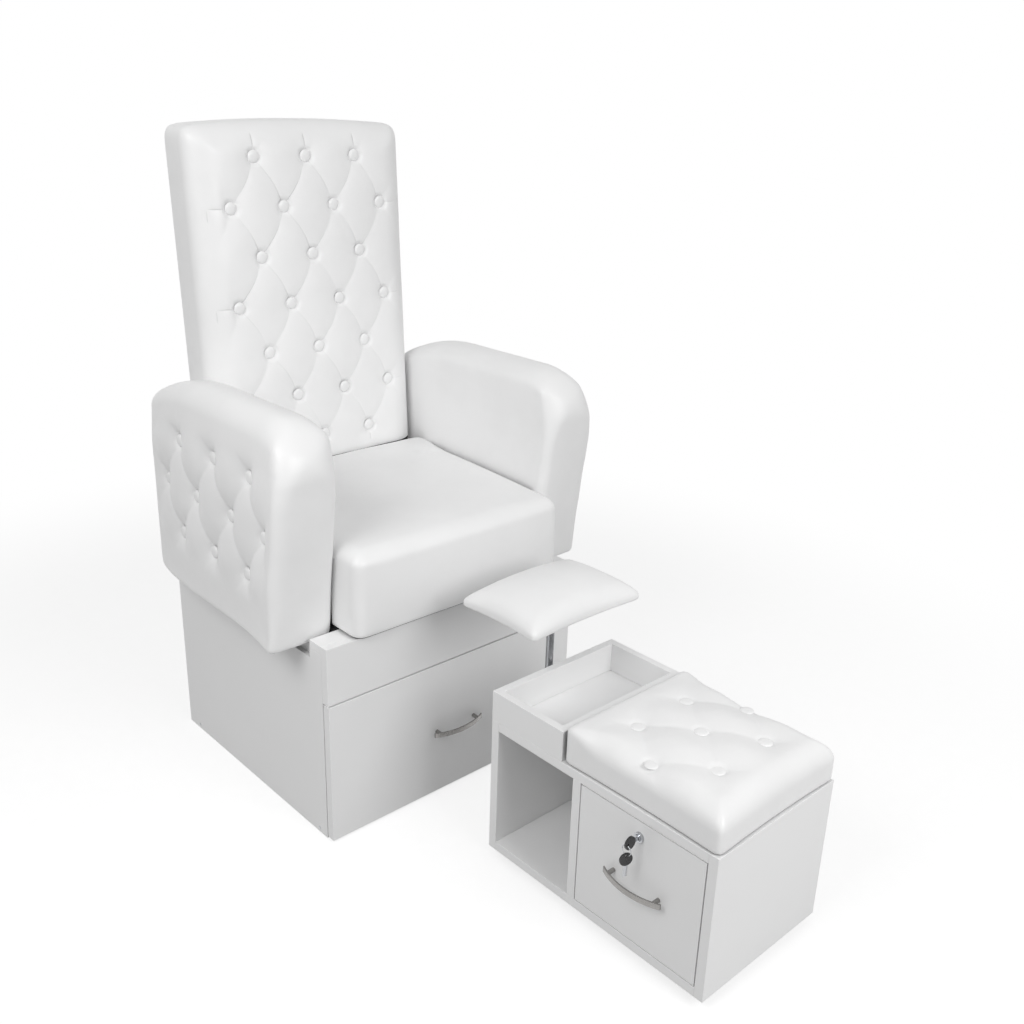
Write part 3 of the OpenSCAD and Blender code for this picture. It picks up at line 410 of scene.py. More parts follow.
def calm():
    """Leaves edit mode and selects nothing."""
    if bpy.context.object and bpy.context.object.mode != "OBJECT":
        bpy.ops.object.mode_set(mode="OBJECT")
    bpy.ops.object.select_all(action="DESELECT")


def only(*objects):
    calm()
    for o in objects:
        o.select_set(True)
    bpy.context.view_layer.objects.active = objects[0]
    return objects[0]


def coords(o):
    co = np.empty(len(o.data.vertices) * 3)
    o.data.vertices.foreach_get("co", co)
    return co.reshape(-1, 3)


def put(o, co):
    o.data.vertices.foreach_set("co", np.ascontiguousarray(co, dtype=np.float32).ravel())
    o.data.update()


def split_edges(o, axis, parts):
    """Divides every edge that runs along an axis, in one or two passes."""
    first = max(1, math.ceil(parts / 80))
    for count in (first, round(parts / first)):
        if count < 2:
            continue
        mesh = bmesh.from_edit_mesh(o.data)
        for e in mesh.edges:
            run = e.verts[1].co - e.verts[0].co
            e.select = abs(run[axis]) > 0.99 * run.length
        bmesh.update_edit_mesh(o.data)
        bpy.ops.mesh.subdivide(number_cuts=count - 1)


def block(name, size, step):
    """A box of that size about the origin, with its faces in a grid of that step."""
    calm()
    bpy.ops.mesh.primitive_cube_add(size=1.0, location=(0, 0, 0))
    o = bpy.context.object
    o.name = o.data.name = name
    o.scale = size
    bpy.ops.object.transform_apply(scale=True)
    bpy.ops.object.mode_set(mode="EDIT")
    bpy.ops.mesh.select_mode(type="EDGE")
    for axis in range(3):
        bpy.ops.mesh.select_all(action="DESELECT")
        split_edges(o, axis, max(2, round(size[axis] / step)))
    bpy.ops.object.mode_set(mode="OBJECT")
    return o


def ease(x, low, high):
    t = np.clip((x - low) / (high - low), 0.0, 1.0)
    return t * t * (3 - 2 * t)


def rolled(p, half, band, squareness, front, rear):
    """Moves a gridded box's points onto the same box with soft corners and rolled edges.

    The outline in the first two axes gets its corners within a rim as wide as band, squarer
    as squareness grows. front and rear are the rolls at the third axis's two ends: each
    one's reach over the face, at most band, and its reach down the side.
    """
    room = np.array(half[:2]) - band
    sharp = np.broadcast_to(squareness, len(p))
    plan, w = p[:, :2].copy(), p[:, 2].copy()
    inner = np.clip(plan, -room, room)
    d = plan - inner
    far = np.abs(d).max(1)
    reach = np.maximum((np.abs(d) ** sharp[:, None]).sum(1) ** (1 / sharp), 1e-9)
    out = d / reach[:, None]
    plan = inner + out * far[:, None]
    for side, (over, down) in ((1, front), (-1, rear)):
        x = (over - band + far) / over
        y = (down - half[2] + side * w) / down
        both = (x > 0) & (y > 0)
        share = np.maximum(x, y) / np.maximum(np.hypot(x, y), 1e-9)
        plan -= out * np.where(both, over * x * (1 - share), 0.0)[:, None]
        w = np.where(both, side * (half[2] - down + down * y * share), w)
    return np.column_stack([plan, w])


def drawn_in(p, half, pull):
    """Pulls the sides in between the corners."""
    u, v = p[:, 0] / half[0], p[:, 1] / half[1]
    p[:, 0] -= pull * u ** 3 * (1 - v ** 2)
    p[:, 1] -= pull * v ** 3 * (1 - u ** 2)


def dome(u, v, half, power=2):
    """One at a face's middle, nought at its sides."""
    return ((1 - np.clip(u / half[0], -1, 1) ** power)
            * (1 - np.clip(v / half[1], -1, 1) ** power))


def uneven(p, size, height, seed):
    """Slow waves of a stuffed cover, in metres, the same on each run."""
    return np.array([noise.noise(Vector(q) / size + Vector((seed, 0, 0))) for q in p]) * height


def groove(u, v, start, end, width):
    """One on a straight groove, nought beside it and at its ends."""
    start, end = np.array(start), np.array(end)
    run = end - start
    t = ((u - start[0]) * run[0] + (v - start[1]) * run[1]) / (run @ run)
    c = np.clip(t, 0, 1)
    away = np.hypot(u - start[0] - c * run[0], v - start[1] - c * run[1])
    return np.exp(-(away / width) ** 2) * np.clip(1.2 - np.abs(2 * t - 1), 0, 1)


class Tufting:
    """Diamond tufting of a face: puffs between folds that run from button to button.

    depth and width are a button's dip, puff the rise between the folds, well the drop right
    under a button, and stretch how much longer a dip is above its button than below it.
    """

    rim_blend = 0.006
    plain_share = 0.75
    pleat_depth, pleat_width = 0.0022, 0.005

    def __init__(self, counts, middle, pitch, rise, depth, width, puff, button, well=0.004,
                 bow=0.0, fade=0.04, sharp=0.5, stretch=1.0, pleats=()):
        self.pitch, self.rise, self.depth, self.width = pitch, rise, depth, width
        self.rim, self.well, self.stretch = button / 2, well, stretch
        self.puff, self.bow, self.fade, self.sharp = puff, bow, fade, sharp
        self.pleats = pleats
        self.slope = math.hypot(1 / pitch, 1 / (2 * rise))
        top = middle[1] + rise * (len(counts) - 1) / 2
        self.places = [(middle[0] + (i - (n - 1) / 2) * pitch, top - row * rise)
                       for row, n in enumerate(counts) for i in range(n)]
        x, y = np.array(self.places).T
        self.hull = ((x.min() + x.max()) / 2, (x.max() - x.min()) / 2,
                     (y.min() + y.max()) / 2, (y.max() - y.min()) / 2)
        first = self.places[0]
        self.span = (self.hull[0] - first[0], self.hull[1], self.hull[2] - first[1],
                     self.hull[3])

    def height(self, u, v):
        """Height of the face over its plain form."""
        x, y = self.places[0]
        turn = (v - y) / self.rise
        bowed = u - x - self.bow * np.sin(math.pi * turn) ** 2
        a, b = bowed / self.pitch + turn / 2, bowed / self.pitch - turn / 2
        cell = np.abs(np.sin(math.pi * a) * np.sin(math.pi * b)) ** self.sharp
        cx, rx, cy, ry = self.hull
        out = np.maximum(np.maximum(np.abs(u - cx) - rx, np.abs(v - cy) - ry), 0)
        inside = 1 - ease(out, 0.0, self.fade)
        h = self.puff * (cell * inside + self.plain_share * (1 - inside))
        pit = np.zeros_like(u)
        for px, py in self.places:
            r = np.hypot(u - px, v - py)
            up = np.where(v > py, self.stretch, 1.0)
            long = np.hypot(u - px, (v - py) / up)
            pit = np.maximum(pit, self.depth * np.exp(-(long / self.width) ** 1.4)
                             + self.well * (1 - ease(r, self.rim, self.rim + self.rim_blend)))
        h -= pit
        for start, end, deep in self.pleats:
            h -= self.pleat_depth * deep * groove(u, v, start, end, self.pleat_width)
        return h


def row_middle(node, axes, gaps, button):
    """Middle and spacing of a node's button rows along two axes, from its box."""
    low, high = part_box(node)
    return [((low[k] + high[k]) / 2, (high[k] - low[k] - button) / n)
            for k, n in zip(axes, gaps)]


def lining_and_gap_shade(o, cloth_and_shade, hidden):
    """Gives chosen faces the black backing cloth: a real lining underneath, and painted shade
    on faces in the gaps.
    """
    o.data.materials.append(cloth_and_shade)
    for face in o.data.polygons:
        if hidden(face.center, face.normal):
            face.material_index = 1


def settle(o, material, body, nodes):
    """Finishes an upholstered piece: smooth, dressed, riding, and in its node's place."""
    only(o)
    bpy.ops.object.mode_set(mode="EDIT")
    bpy.ops.mesh.select_all(action="SELECT")
    bpy.ops.mesh.normals_make_consistent(inside=False)
    bpy.ops.object.mode_set(mode="OBJECT")
    bpy.ops.object.shade_smooth()
    return hand_over(o, material, body, nodes)


def hand_over(o, material, body, nodes):
    o.data.materials.clear()
    o.data.materials.append(material)
    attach(o, body)
    if nodes:
        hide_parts(*nodes)
    return o


def eased(node, radius, angle=35.0, segments=2):
    """A copy of a rigid node with its edges eased."""
    calm()
    source = frame["nodes"][node]
    o = source.copy()
    o.data = source.data.copy()
    for key in list(o.keys()):
        del o[key]
    o.name = o.data.name = node + "_finished"
    o.parent = None
    o.matrix_world = Matrix.Identity(4)
    bpy.context.scene.collection.objects.link(o)
    only(o)
    bpy.ops.object.mode_set(mode="EDIT")
    bpy.ops.mesh.select_all(action="SELECT")
    bpy.ops.mesh.remove_doubles(threshold=0.00001)
    bpy.ops.mesh.dissolve_limited(angle_limit=math.radians(0.5))
    bpy.ops.object.mode_set(mode="OBJECT")
    if radius:
        bevel = o.modifiers.new("Eased edges", "BEVEL")
        bevel.width = radius
        bevel.segments = segments
        bevel.limit_method = "ANGLE"
        bevel.angle_limit = math.radians(angle)
        bevel.use_clamp_overlap = True
        bpy.ops.object.modifier_apply(modifier=bevel.name)
    bpy.ops.object.shade_smooth_by_angle(angle=math.radians(angle))
    weighted = o.modifiers.new("Flat faces", "WEIGHTED_NORMAL")
    weighted.keep_sharp = True
    bpy.ops.object.modifier_apply(modifier=weighted.name)
    return o


BODY_OF = {n: body for body, nodes in frame["record"]["behaviour"]["bodies"].items()
           for n in nodes}
SLOT_OF = {p["node"]: p["material_slot"] for p in frame["record"]["subparts"]}


def dress(node, material, radius, angle=35.0, segments=2):
    """Replaces a rigid node by its eased copy in a material."""
    return hand_over(eased(node, radius, angle, segments), material, BODY_OF[node],
                     [node])


def join(name, objects):
    only(*objects)
    bpy.ops.object.join()
    o = bpy.context.object
    o.name = o.data.name = name
    return o


def button_set(name, places, size, material, node, bulge=0.20):
    """Covered buttons at places, each a point and the direction it faces."""
    under, flatness = 0.12, 3.2
    calm()
    bpy.ops.mesh.primitive_uv_sphere_add(segments=32, ring_count=16, radius=size / 2,
                                         location=(0, 0, 0))
    first = bpy.context.object
    co = coords(first)
    share = np.hypot(co[:, 0], co[:, 1]) / (size / 2)
    co[:, 2] = np.sign(co[:, 2]) * (1 - share ** flatness) ** 0.5 * size * np.where(
        co[:, 2] > 0, bulge, under)
    put(first, co)
    made = []
    for point, facing in places:
        o = first.copy()
        o.data = first.data.copy()
        bpy.context.scene.collection.objects.link(o)
        turn = Vector((0, 0, 1)).rotation_difference(Vector(facing).normalized())
        o.matrix_world = Matrix.Translation(Vector(point)) @ turn.to_matrix().to_4x4()
        made.append(o)
    bpy.data.objects.remove(first)
    o = join(name, made)
    bpy.ops.object.transform_apply(location=True, rotation=True, scale=True)
    bpy.ops.object.shade_smooth()
    return hand_over(o, material, BODY_OF[node], [node])


def ring_faces(o, slot):
    """Gives the faces of the smallest loose part a material slot."""
    mesh = bmesh.new()
    mesh.from_mesh(o.data)
    left = set(mesh.faces)
    parts = []
    while left:
        part, edge = set(), [left.pop()]
        while edge:
            face = edge.pop()
            part.add(face)
            for loop in face.loops:
                for other in loop.edge.link_faces:
                    if other in left:
                        left.discard(other)
                        edge.append(other)
        parts.append(part)
    tall = [max(v.co.z for f in p for v in f.verts) - min(v.co.z for f in p for v in f.verts)
            for p in parts]
    for face in parts[tall.index(min(tall))]:
        face.material_index = slot
    mesh.to_mesh(o.data)
    mesh.free()


# Black backing cloth: a real lining underneath, also used as painted shade in the gaps.
def backing_and_gap_shade():
    return bpy.data.materials.get("Backing cloth and gap shade") or non_woven("Backing cloth and gap shade")


def leather(context):
    return context.scene.chair_colours.leather


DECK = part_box("back_cushion")[0].z
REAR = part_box("base_side_left")[1].y
FRONT = -REAR
BACK_FOOT = REAR - 0.126
SEAT_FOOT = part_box("seat_cushion")[0].z
SEAT_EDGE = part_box("seat_cushion")[1].z - 0.012
BACK_LINE = SEAT_EDGE + 0.006


# The strength of the soft light all round, each lamp's place, size and power, and the point
# that the lamps face
SKY = 0.46
LAMPS = (
    ("front_lamp", (0.1, -3.0, 1.95), 1.6, 34.0),
    ("left_lamp", (-1.9, -0.7, 2.1), 1.2, 20.5),
)
LIT_POINT = Vector((0.0, -0.3, 0.5))

# The floor's radius, its drop below the wheels, and where its shadows fade to white
FLOOR_RADIUS = 14.0
FLOOR_DROP = 0.0005
FLOOR_FADE = (1.0, 2.0)

# The photograph's camera: its place, its yaw, pitch and roll in degrees, its focal length in
# widths of the picture, and the width of its film in millimetres
CAMERA_PLACE = (-1.2412, -1.745, 1.3391)
CAMERA_TURN = (43.1972, 20.9905, -1.8109)
FOCAL_WIDTHS = 1085.395 / 1024
FILM = 36.0


class CHAIR_OT_stage(bpy.types.Operator):
    """Sets the floor, the light and the camera"""

    bl_idname = "chair.stage"
    bl_label = "Stage"

    def execute(self, context):
        calm()
        bpy.ops.mesh.primitive_circle_add(vertices=96, radius=FLOOR_RADIUS, fill_type="NGON",
                                          location=(0, 0, -FLOOR_DROP))
        floor = context.object
        floor.name = floor.data.name = "studio_floor"
        f = Finish("Studio floor")
        grain = f.noise(30.0, detail=2.0)
        seen = f.behind()
        shaded = f.node("ShaderNodeBsdfDiffuse",
                        {"Color": f.mix(grain.step(0.3, 0.7), (0.37,) * 3, (0.38,) * 3)})
        glow = f.node("ShaderNodeEmission", {"Color": (1, 1, 1, 1), "Strength": 0.70})
        near = f.node("ShaderNodeAddShader", {0: shaded, 1: glow})
        white = f.node("ShaderNodeEmission", {"Color": (1, 1, 1, 1), "Strength": 1.0})
        away = f.node("ShaderNodeVectorMath", {0: f.place}, output=1, operation="LENGTH")
        backdrop = f.node("ShaderNodeMixShader", {0: away.step(*FLOOR_FADE), 1: near, 2: white})
        plain = f.node("ShaderNodeBsdfDiffuse", {"Color": (0.45, 0.45, 0.45, 1)})
        f.node_out(f.node("ShaderNodeMixShader", {0: seen, 1: plain, 2: backdrop}))
        floor.data.materials.append(f.material)

        world = bpy.data.worlds.new("Studio")
        context.scene.world = world
        world.use_nodes = True
        world.node_tree.nodes.clear()
        f = Finish(world.name, world.node_tree)
        white = f.node("ShaderNodeBackground", {"Color": (1, 1, 1, 1), "Strength": 1.0})
        soft = f.node("ShaderNodeBackground", {"Color": (1, 1, 1, 1), "Strength": SKY})
        mixed = f.node("ShaderNodeMixShader", {0: f.behind(), 1: soft, 2: white})
        out = f.tree.nodes.new("ShaderNodeOutputWorld")
        f.tree.links.new(mixed.socket, out.inputs["Surface"])

        for name, place, size, power in LAMPS:
            bpy.ops.object.light_add(type="AREA", location=place)
            light = context.object
            light.name = light.data.name = name
            light.data.shape = "DISK"
            light.data.size = size
            light.data.energy = power
            look = LIT_POINT - Vector(place)
            light.rotation_euler = look.to_track_quat("-Z", "Y").to_euler()

        yaw, pitch, roll = (math.radians(a) for a in CAMERA_TURN)
        ahead = Vector((math.sin(yaw) * math.cos(pitch), math.cos(yaw) * math.cos(pitch),
                        -math.sin(pitch)))
        right = Vector((math.cos(yaw), -math.sin(yaw), 0))
        down = ahead.cross(right)
        right, down = (math.cos(roll) * right + math.sin(roll) * down,
                       math.cos(roll) * down - math.sin(roll) * right)
        bpy.ops.object.camera_add()
        camera = context.object
        camera.name = "photo_camera"
        turn = Matrix((right, -down, -ahead)).transposed()
        camera.matrix_world = Matrix.Translation(CAMERA_PLACE) @ turn.to_4x4()
        camera.data.sensor_width = FILM
        camera.data.lens = FOCAL_WIDTHS * FILM
        context.scene.camera = camera
        context.scene.view_settings.view_transform = "Standard"
        return {"FINISHED"}


class CHAIR_OT_boards(bpy.types.Operator):
    """Finishes the coated boards of the cabinet and the stool"""

    bl_idname = "chair.boards"
    bl_label = "Boards"

    def execute(self, context):
        colours = context.scene.chair_colours
        edge = context.scene.chair_sizes.edge
        white = melamine("White board", colours.board)
        for node, slot in SLOT_OF.items():
            if slot == "white_board":
                dress(node, white, edge)
        raw = raw_board("Drawer board", colours.inside)
        for node in ("base_drawer_box", "stool_drawer_box"):
            dress(node, raw, edge / 2)
        ply = plywood("Plywood")
        for node in ("back_board", "stool_seat_board"):
            dress(node, ply, edge / 2)
        # The underlining is a real black lining; the seat board and the arm frames are black as
        # painted shade where they show through the gaps around the seat and under the arms.
        for node in ("underlining", "seat_board", "arm_frame_left", "arm_frame_right"):
            dress(node, backing_and_gap_shade(), 0)
        return {"FINISHED"}


class CHAIR_OT_metalwork(bpy.types.Operator):
    """Finishes the handles, post, bracket, runners and fasteners"""

    bl_idname = "chair.metalwork"
    bl_label = "Metalwork"

    def execute(self, context):
        colours = context.scene.chair_colours
        sizes = context.scene.chair_sizes
        along_x = brushed("Nickel along X", colours.metal, (0.05, 1.0, 1.0))
        along_y = brushed("Nickel along Y", colours.metal, (1.0, 0.05, 1.0))
        zinc = brushed("Zinc plate", colours.zinc, (1.0, 0.1, 1.0), (0.3, 0.5))
        dress("base_drawer_handle", along_x, sizes.bar_edge, segments=3)
        dress("stool_drawer_handle", along_y, sizes.bar_edge, segments=3)
        dress("footrest_post", polished("Post chrome", scaled(colours.chrome, 0.7)),
              sizes.tube_edge)
        for node in ("base_screws", "base_runners_fixed", "base_runners_moving",
                     "stool_runners_fixed", "stool_runners_moving", "back_bolts",
                     "foot_pad_plate"):
            dress(node, zinc, sizes.sheet_edge)
        dress("back_straps", moulded("Black enamel", colours.strap), sizes.strip_edge)
        dress("footrest_bracket", melamine("White enamel", colours.enamel), sizes.strip_edge)
        return {"FINISHED"}


class CHAIR_OT_lock(bpy.types.Operator):
    """Finishes the lock and its two keys"""

    bl_idname = "chair.lock"
    bl_label = "Lock and keys"

    def execute(self, context):
        colours = context.scene.chair_colours
        sizes = context.scene.chair_sizes
        chrome = polished("Lock chrome", colours.chrome)
        black = moulded("Key plastic", colours.black, (0.10, 0.18))
        for node in ("lock_body", "lock_plug"):
            dress(node, chrome, sizes.small_edge)
        head = 0.023
        blade = 0.0215
        for node in ("key_in_lock", "spare_key"):
            o = dress(node, black, sizes.tube_edge, segments=3)
            o.data.materials.append(chrome)
            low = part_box(node)[0]
            for face in o.data.polygons:
                if node == "key_in_lock":
                    metal = face.center.x > low.x + head
                else:
                    metal = face.center.z < low.z + blade
                face.material_index = int(metal)
        ring_faces(o, 1)
        return {"FINISHED"}


class CHAIR_OT_rolling(bpy.types.Operator):
    """Finishes the casters and the clamp knob"""

    bl_idname = "chair.rolling"
    bl_label = "Casters and knob"

    def execute(self, context):
        knob_edge, wheel_edge = 0.0012, 0.0008
        small_edge = context.scene.chair_sizes.small_edge
        black = moulded("Black nylon", context.scene.chair_colours.black, (0.35, 0.5), 0.00006)
        dress("caster_plates", black, small_edge)
        dress("clamp_knob", black, knob_edge, segments=3)
        for i in range(1, 5):
            dress(f"caster_fork_{i}", black, small_edge)
            dress(f"caster_wheels_{i}", black, wheel_edge, segments=3)
        return {"FINISHED"}


class CHAIR_OT_seat(bpy.types.Operator):
    """Upholsters the seat cushion"""

    bl_idname = "chair.seat"
    bl_label = "Seat cushion"

    def execute(self, context):
        sizes = context.scene.chair_sizes
        low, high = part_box("seat_cushion")
        rise = sizes.seat_rise
        back_swell, back_middle, back_gap = 0.006, 0.437, 0.0006
        wrinkles = ((0.20, 0.17, 0.9, 0.06), (0.225, 0.13, 0.6, 0.05),
                    (-0.19, 0.19, -0.7, 0.05))
        wrinkle_depth, wrinkle_width = 0.0022, 0.008
        tall = high.z - low.z - rise - sizes.seat_crown * 0.2
        half = ((high.x - low.x) / 2, (BACK_FOOT - back_gap - low.y) / 2, tall / 2)
        lean = math.tan(sizes.back_lean)
        o = block("seat_cushion_cover", [2 * h for h in half], step=0.0045)
        p = coords(o)
        tight = ease(p[:, 1], 0.5 * half[1], 0.95 * half[1])
        p = rolled(p, half, band=0.034, squareness=3.6,
                   front=(0.032 - 0.020 * tight, 0.024 - 0.013 * tight), rear=(0.012, 0.010))
        wave = uneven(p, size=0.11, height=0.0016, seed=3.0)
        u, v, w = p[:, 0] / half[0], p[:, 1] / half[1], p[:, 2]
        front = ease(-v, 0.9, 1.0)
        p[:, 1] -= front * (sizes.seat_belly * (1 - (w / half[2]) ** 2) * (1 - u ** 4) + wave)
        top = ease(w, -half[2] * 0.3, half[2])
        p[:, 2] += top * (sizes.seat_crown * dome(p[:, 0], p[:, 1], half) + wave)
        for x, y, turn, reach in wrinkles:
            end = (x - reach * math.cos(turn), y - reach * math.sin(turn))
            p[:, 2] -= top * wrinkle_depth * groove(p[:, 0], p[:, 1], (x, y), end,
                                                    wrinkle_width)
        z = low.z + half[2] + p[:, 2]
        z += rise * (v + 1) / 2 * np.clip((z - low.z) / tall, 0, 1.2)
        above = z - DECK
        bulge = back_swell * (1 - ((above - back_middle) / back_middle) ** 2)
        y = low.y + half[1] + p[:, 1] + (above * lean - bulge) * (v + 1) / 2
        put(o, np.column_stack([p[:, 0], y, z]))
        settle(o, leatherette("Seat leatherette", leather(context)), "chair",
               ["seat_cushion"])
        # Painted shade: a band at the seat's foot, its rear face below the back's line and its
        # sides behind the arms' fronts are black as the shade in those gaps; the underside is
        # the real black lining.
        shadow_band, arm_front = 0.005, 0.071
        lining_and_gap_shade(o, backing_and_gap_shade(), lambda c, n: (
            n.z < -0.7 or c.z < SEAT_FOOT + shadow_band or (n.y > 0.5 and c.z < BACK_LINE)
            or (abs(n.x) > 0.7 and c.z < SEAT_EDGE and c.y > FRONT + arm_front)))
        return {"FINISHED"}


class CHAIR_OT_back(bpy.types.Operator):
    """Upholsters the tufted back with its buttons"""

    bl_idname = "chair.back"
    bl_label = "Back"

    def execute(self, context):
        sizes = context.scene.chair_sizes
        low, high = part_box("back_cushion")
        tall, thick = high.z - low.z, sizes.back_thickness
        half = (high.x, tall / 2, thick / 2)
        lean = math.tan(sizes.back_lean)
        (_, pitch), (middle, rise) = row_middle("back_buttons", (0, 2), (3, 6), sizes.button)
        centre = (0.0, middle - DECK - half[1])
        first = centre[1] + 3 * rise
        last = centre[1] - 3 * rise
        pleats = [((x, first + 0.015), (x, first + 0.046), 0.6) for x in (-pitch, 0.0, pitch)]
        pleats += [((x, last - 0.014), (x, last - 0.036), 0.4) for x in (-pitch, 0.0, pitch)]
        outer = 1.5 * pitch
        for row, deep in ((1, 0.5), (3, 0.45), (5, 0.3)):
            y = first - row * rise
            pleats.append(((-outer - 0.012, y), (-outer - 0.048, y), deep))
            pleats.append(((-outer - 0.048, y), (-outer - 0.048, y - 0.028), 0.7 * deep))
            pleats.append(((outer + 0.012, y), (outer + 0.040, y), 0.6 * deep))
        tuft = Tufting((3, 4, 3, 4, 3, 4, 3), centre, pitch, rise, depth=sizes.back_tuft,
                       width=0.022, puff=0.0038, button=sizes.button, bow=0.006, fade=0.045,
                       pleats=pleats)
        o = block("back_cover", [2 * h for h in half], step=0.0038)
        p = rolled(coords(o), half, band=0.062, squareness=6.0, front=(0.060, 0.048),
                   rear=(0.010, 0.010))
        arch = ease(p[:, 1], 0.5 * half[1], half[1])
        p[:, 1] += arch * sizes.back_arch * (0.6 - np.abs(p[:, 0] / half[0] - 0.15) ** 2.2)
        wave = uneven(p, size=0.12, height=0.0016, seed=11.0)
        sunk, side_swell, button_lift = 0.004, 0.003, 0.0034

        def face(u, v):
            return sizes.back_crown * dome(u, v, half) + tuft.height(u, v) - sunk
        front = ease(p[:, 2], 0.0, half[2])
        p[:, 2] += (face(p[:, 0], p[:, 1]) + wave) * front
        side = side_swell * (1 - (p[:, 2] / half[2]) ** 2)
        p[:, 0] += np.sign(p[:, 0]) * side * ease(np.abs(p[:, 0]), 0.9 * half[0], half[0])

        def placed(u, v, w):
            up = v + half[1]
            return np.column_stack([u, BACK_FOOT + half[2] - w + up * lean, DECK + up])
        put(o, placed(p[:, 0], p[:, 1], p[:, 2]))
        folds = fold_mask(tuft, (0.0, DECK + half[1]), lean,
                          limit=BACK_FOOT + half[2] - DECK * lean)
        settle(o, leatherette("Back leatherette", leather(context), folds), "chair",
               ["back_cushion"])
        # Painted shade: the back's front face below the seat's line is black, as the shade in
        # the gap behind the seat.
        lining_and_gap_shade(o, backing_and_gap_shade(), lambda c, n: n.y < -0.7 and c.z < BACK_LINE)
        u, v = np.array(tuft.places).T
        spots = placed(u, v, half[2] + face(u, v))
        facing = Vector((0.0, -math.cos(sizes.back_lean), -math.sin(sizes.back_lean)))
        button_set("back_buttons_covered",
                   [(Vector(s) + button_lift * facing, facing) for s in spots], sizes.button,
                   leatherette("Button leatherette", leather(context)), "back_buttons",
                   bulge=0.17)
        return {"FINISHED"}


def arm_form(u, v, half, sizes):
    """Gives an arm's side view its round nose and its fall at the back."""
    nose = sizes.arm_nose + 0.010
    a = np.clip((nose - half[0] - u) / nose, 0, 1.2)
    b = np.clip((nose - half[1] + v) / nose, 0, 1.2)
    u = u + (a - a * np.sqrt(1 - b ** 2 / 2)) * nose
    v = v - (b - b * np.sqrt(1 - a ** 2 / 2)) * nose
    into = np.clip(u - half[0] + sizes.arm_tail, 0, None)
    drop = sizes.arm_drop * (into / sizes.arm_tail) ** 2
    tall, up = 2 * half[1], v + half[1]
    held = 0.78 * tall - 0.14 * ease(into, 0.05, sizes.arm_tail)
    share = np.clip((up - held) / (tall - held), 0, None)
    return u, v - drop * share


class CHAIR_OT_arms(bpy.types.Operator):
    """Upholsters the two tufted arms with their buttons"""

    bl_idname = "chair.arms"
    bl_label = "Arms"

    def execute(self, context):
        sizes = context.scene.chair_sizes
        low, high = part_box("arm_right")
        lean = math.tan(sizes.arm_lean)
        foot = FRONT + sizes.arm_setback
        tall = high.z - low.z
        reach = high.y - foot + sizes.arm_row * lean
        half = (reach / 2, tall / 2, (high.x - low.x - sizes.arm_crown) / 2)
        (y, pitch), (z, rise) = row_middle("arm_buttons_right", (1, 2), (3, 2), sizes.button)
        middle = (y - (foot - (z - DECK) * lean) - half[0], z - DECK - half[1])
        tuft = Tufting((3, 4, 3), middle, pitch, rise, depth=sizes.arm_tuft, width=0.022,
                       puff=0.010, button=sizes.button, well=0.003, fade=0.05, sharp=0.55,
                       stretch=1.5)
        seam = -half[0] + 0.020
        seam_depth, seam_width = 0.0015, 0.004
        sunk, nose_swell, nose_reach, button_lift = 0.006, 0.003, 0.03, 0.0080
        gap_shade_drop, gap_shade_front = 0.020, 0.075

        def face(u, v):
            h = sizes.arm_crown * dome(u, v, half, 3) + tuft.height(u, v) - sunk
            h *= 1 - 0.5 * ease(-v, 0.3 * half[1], half[1])
            return h - seam_depth * groove(u, v, (seam, -0.6 * half[1]),
                                           (seam, 0.45 * half[1]), seam_width)

        def placed(u, v, w, side):
            u, v = arm_form(u, v, half, sizes)
            s = u / 2 / half[0] + 0.5
            z = v + half[1]
            front = foot - z * lean
            return np.column_stack([side * (low.x + half[2] + w),
                                    front + s * (high.y - front), DECK + z])
        cover = leatherette("Arm leatherette", leather(context))
        for side, word in ((-1, "left"), (1, "right")):
            o = block(f"arm_{word}_cover", [2 * h for h in half], step=0.0042)
            p = coords(o)
            above = ease(p[:, 1], 0.30 * half[1], 0.85 * half[1])
            below = ease(-p[:, 1], 0.45 * half[1], 0.9 * half[1])
            ahead = ease(-p[:, 0], 0.0, 0.8 * half[0])
            p = rolled(p, half, band=0.042,
                       squareness=3.0 + 1.5 * below + 6.0 * below * ahead,
                       front=(0.026 + 0.014 * above - 0.012 * below,
                              0.024 + 0.012 * above - 0.010 * below),
                       rear=(0.018 + 0.018 * above - 0.006 * below,
                             0.018 + 0.042 * above - 0.006 * below))
            wave = uneven(p, size=0.10, height=0.0018, seed=21.0 + side)
            nose = ease(-p[:, 0], half[0] - nose_reach, half[0])
            p[:, 0] -= nose * nose_swell * (1 - (p[:, 2] / half[2]) ** 2)
            p[:, 2] += (face(p[:, 0], p[:, 1]) + wave) * ease(p[:, 2], -0.2 * half[2], half[2])
            put(o, placed(p[:, 0], p[:, 1], p[:, 2], side))
            settle(o, cover, "chair", [f"arm_{word}"])
            # Painted shade: the inner face below the seat's edge is black, as the shade in the
            # gap beside the seat; the underside is the real black lining.
            lining_and_gap_shade(o, backing_and_gap_shade(), lambda c, n: (
                n.x * side < -0.7 and c.z < SEAT_EDGE - gap_shade_drop
                and FRONT + gap_shade_front < c.y < BACK_FOOT or n.z < -0.8))
            u, v = np.array(tuft.places).T
            spots = placed(u, v, half[2] + face(u, v) + button_lift, side)
            button_set(f"arm_buttons_{word}_covered",
                       [(Vector(s), (side, 0, 0)) for s in spots],
                       sizes.button, cover, f"arm_buttons_{word}")
        return {"FINISHED"}


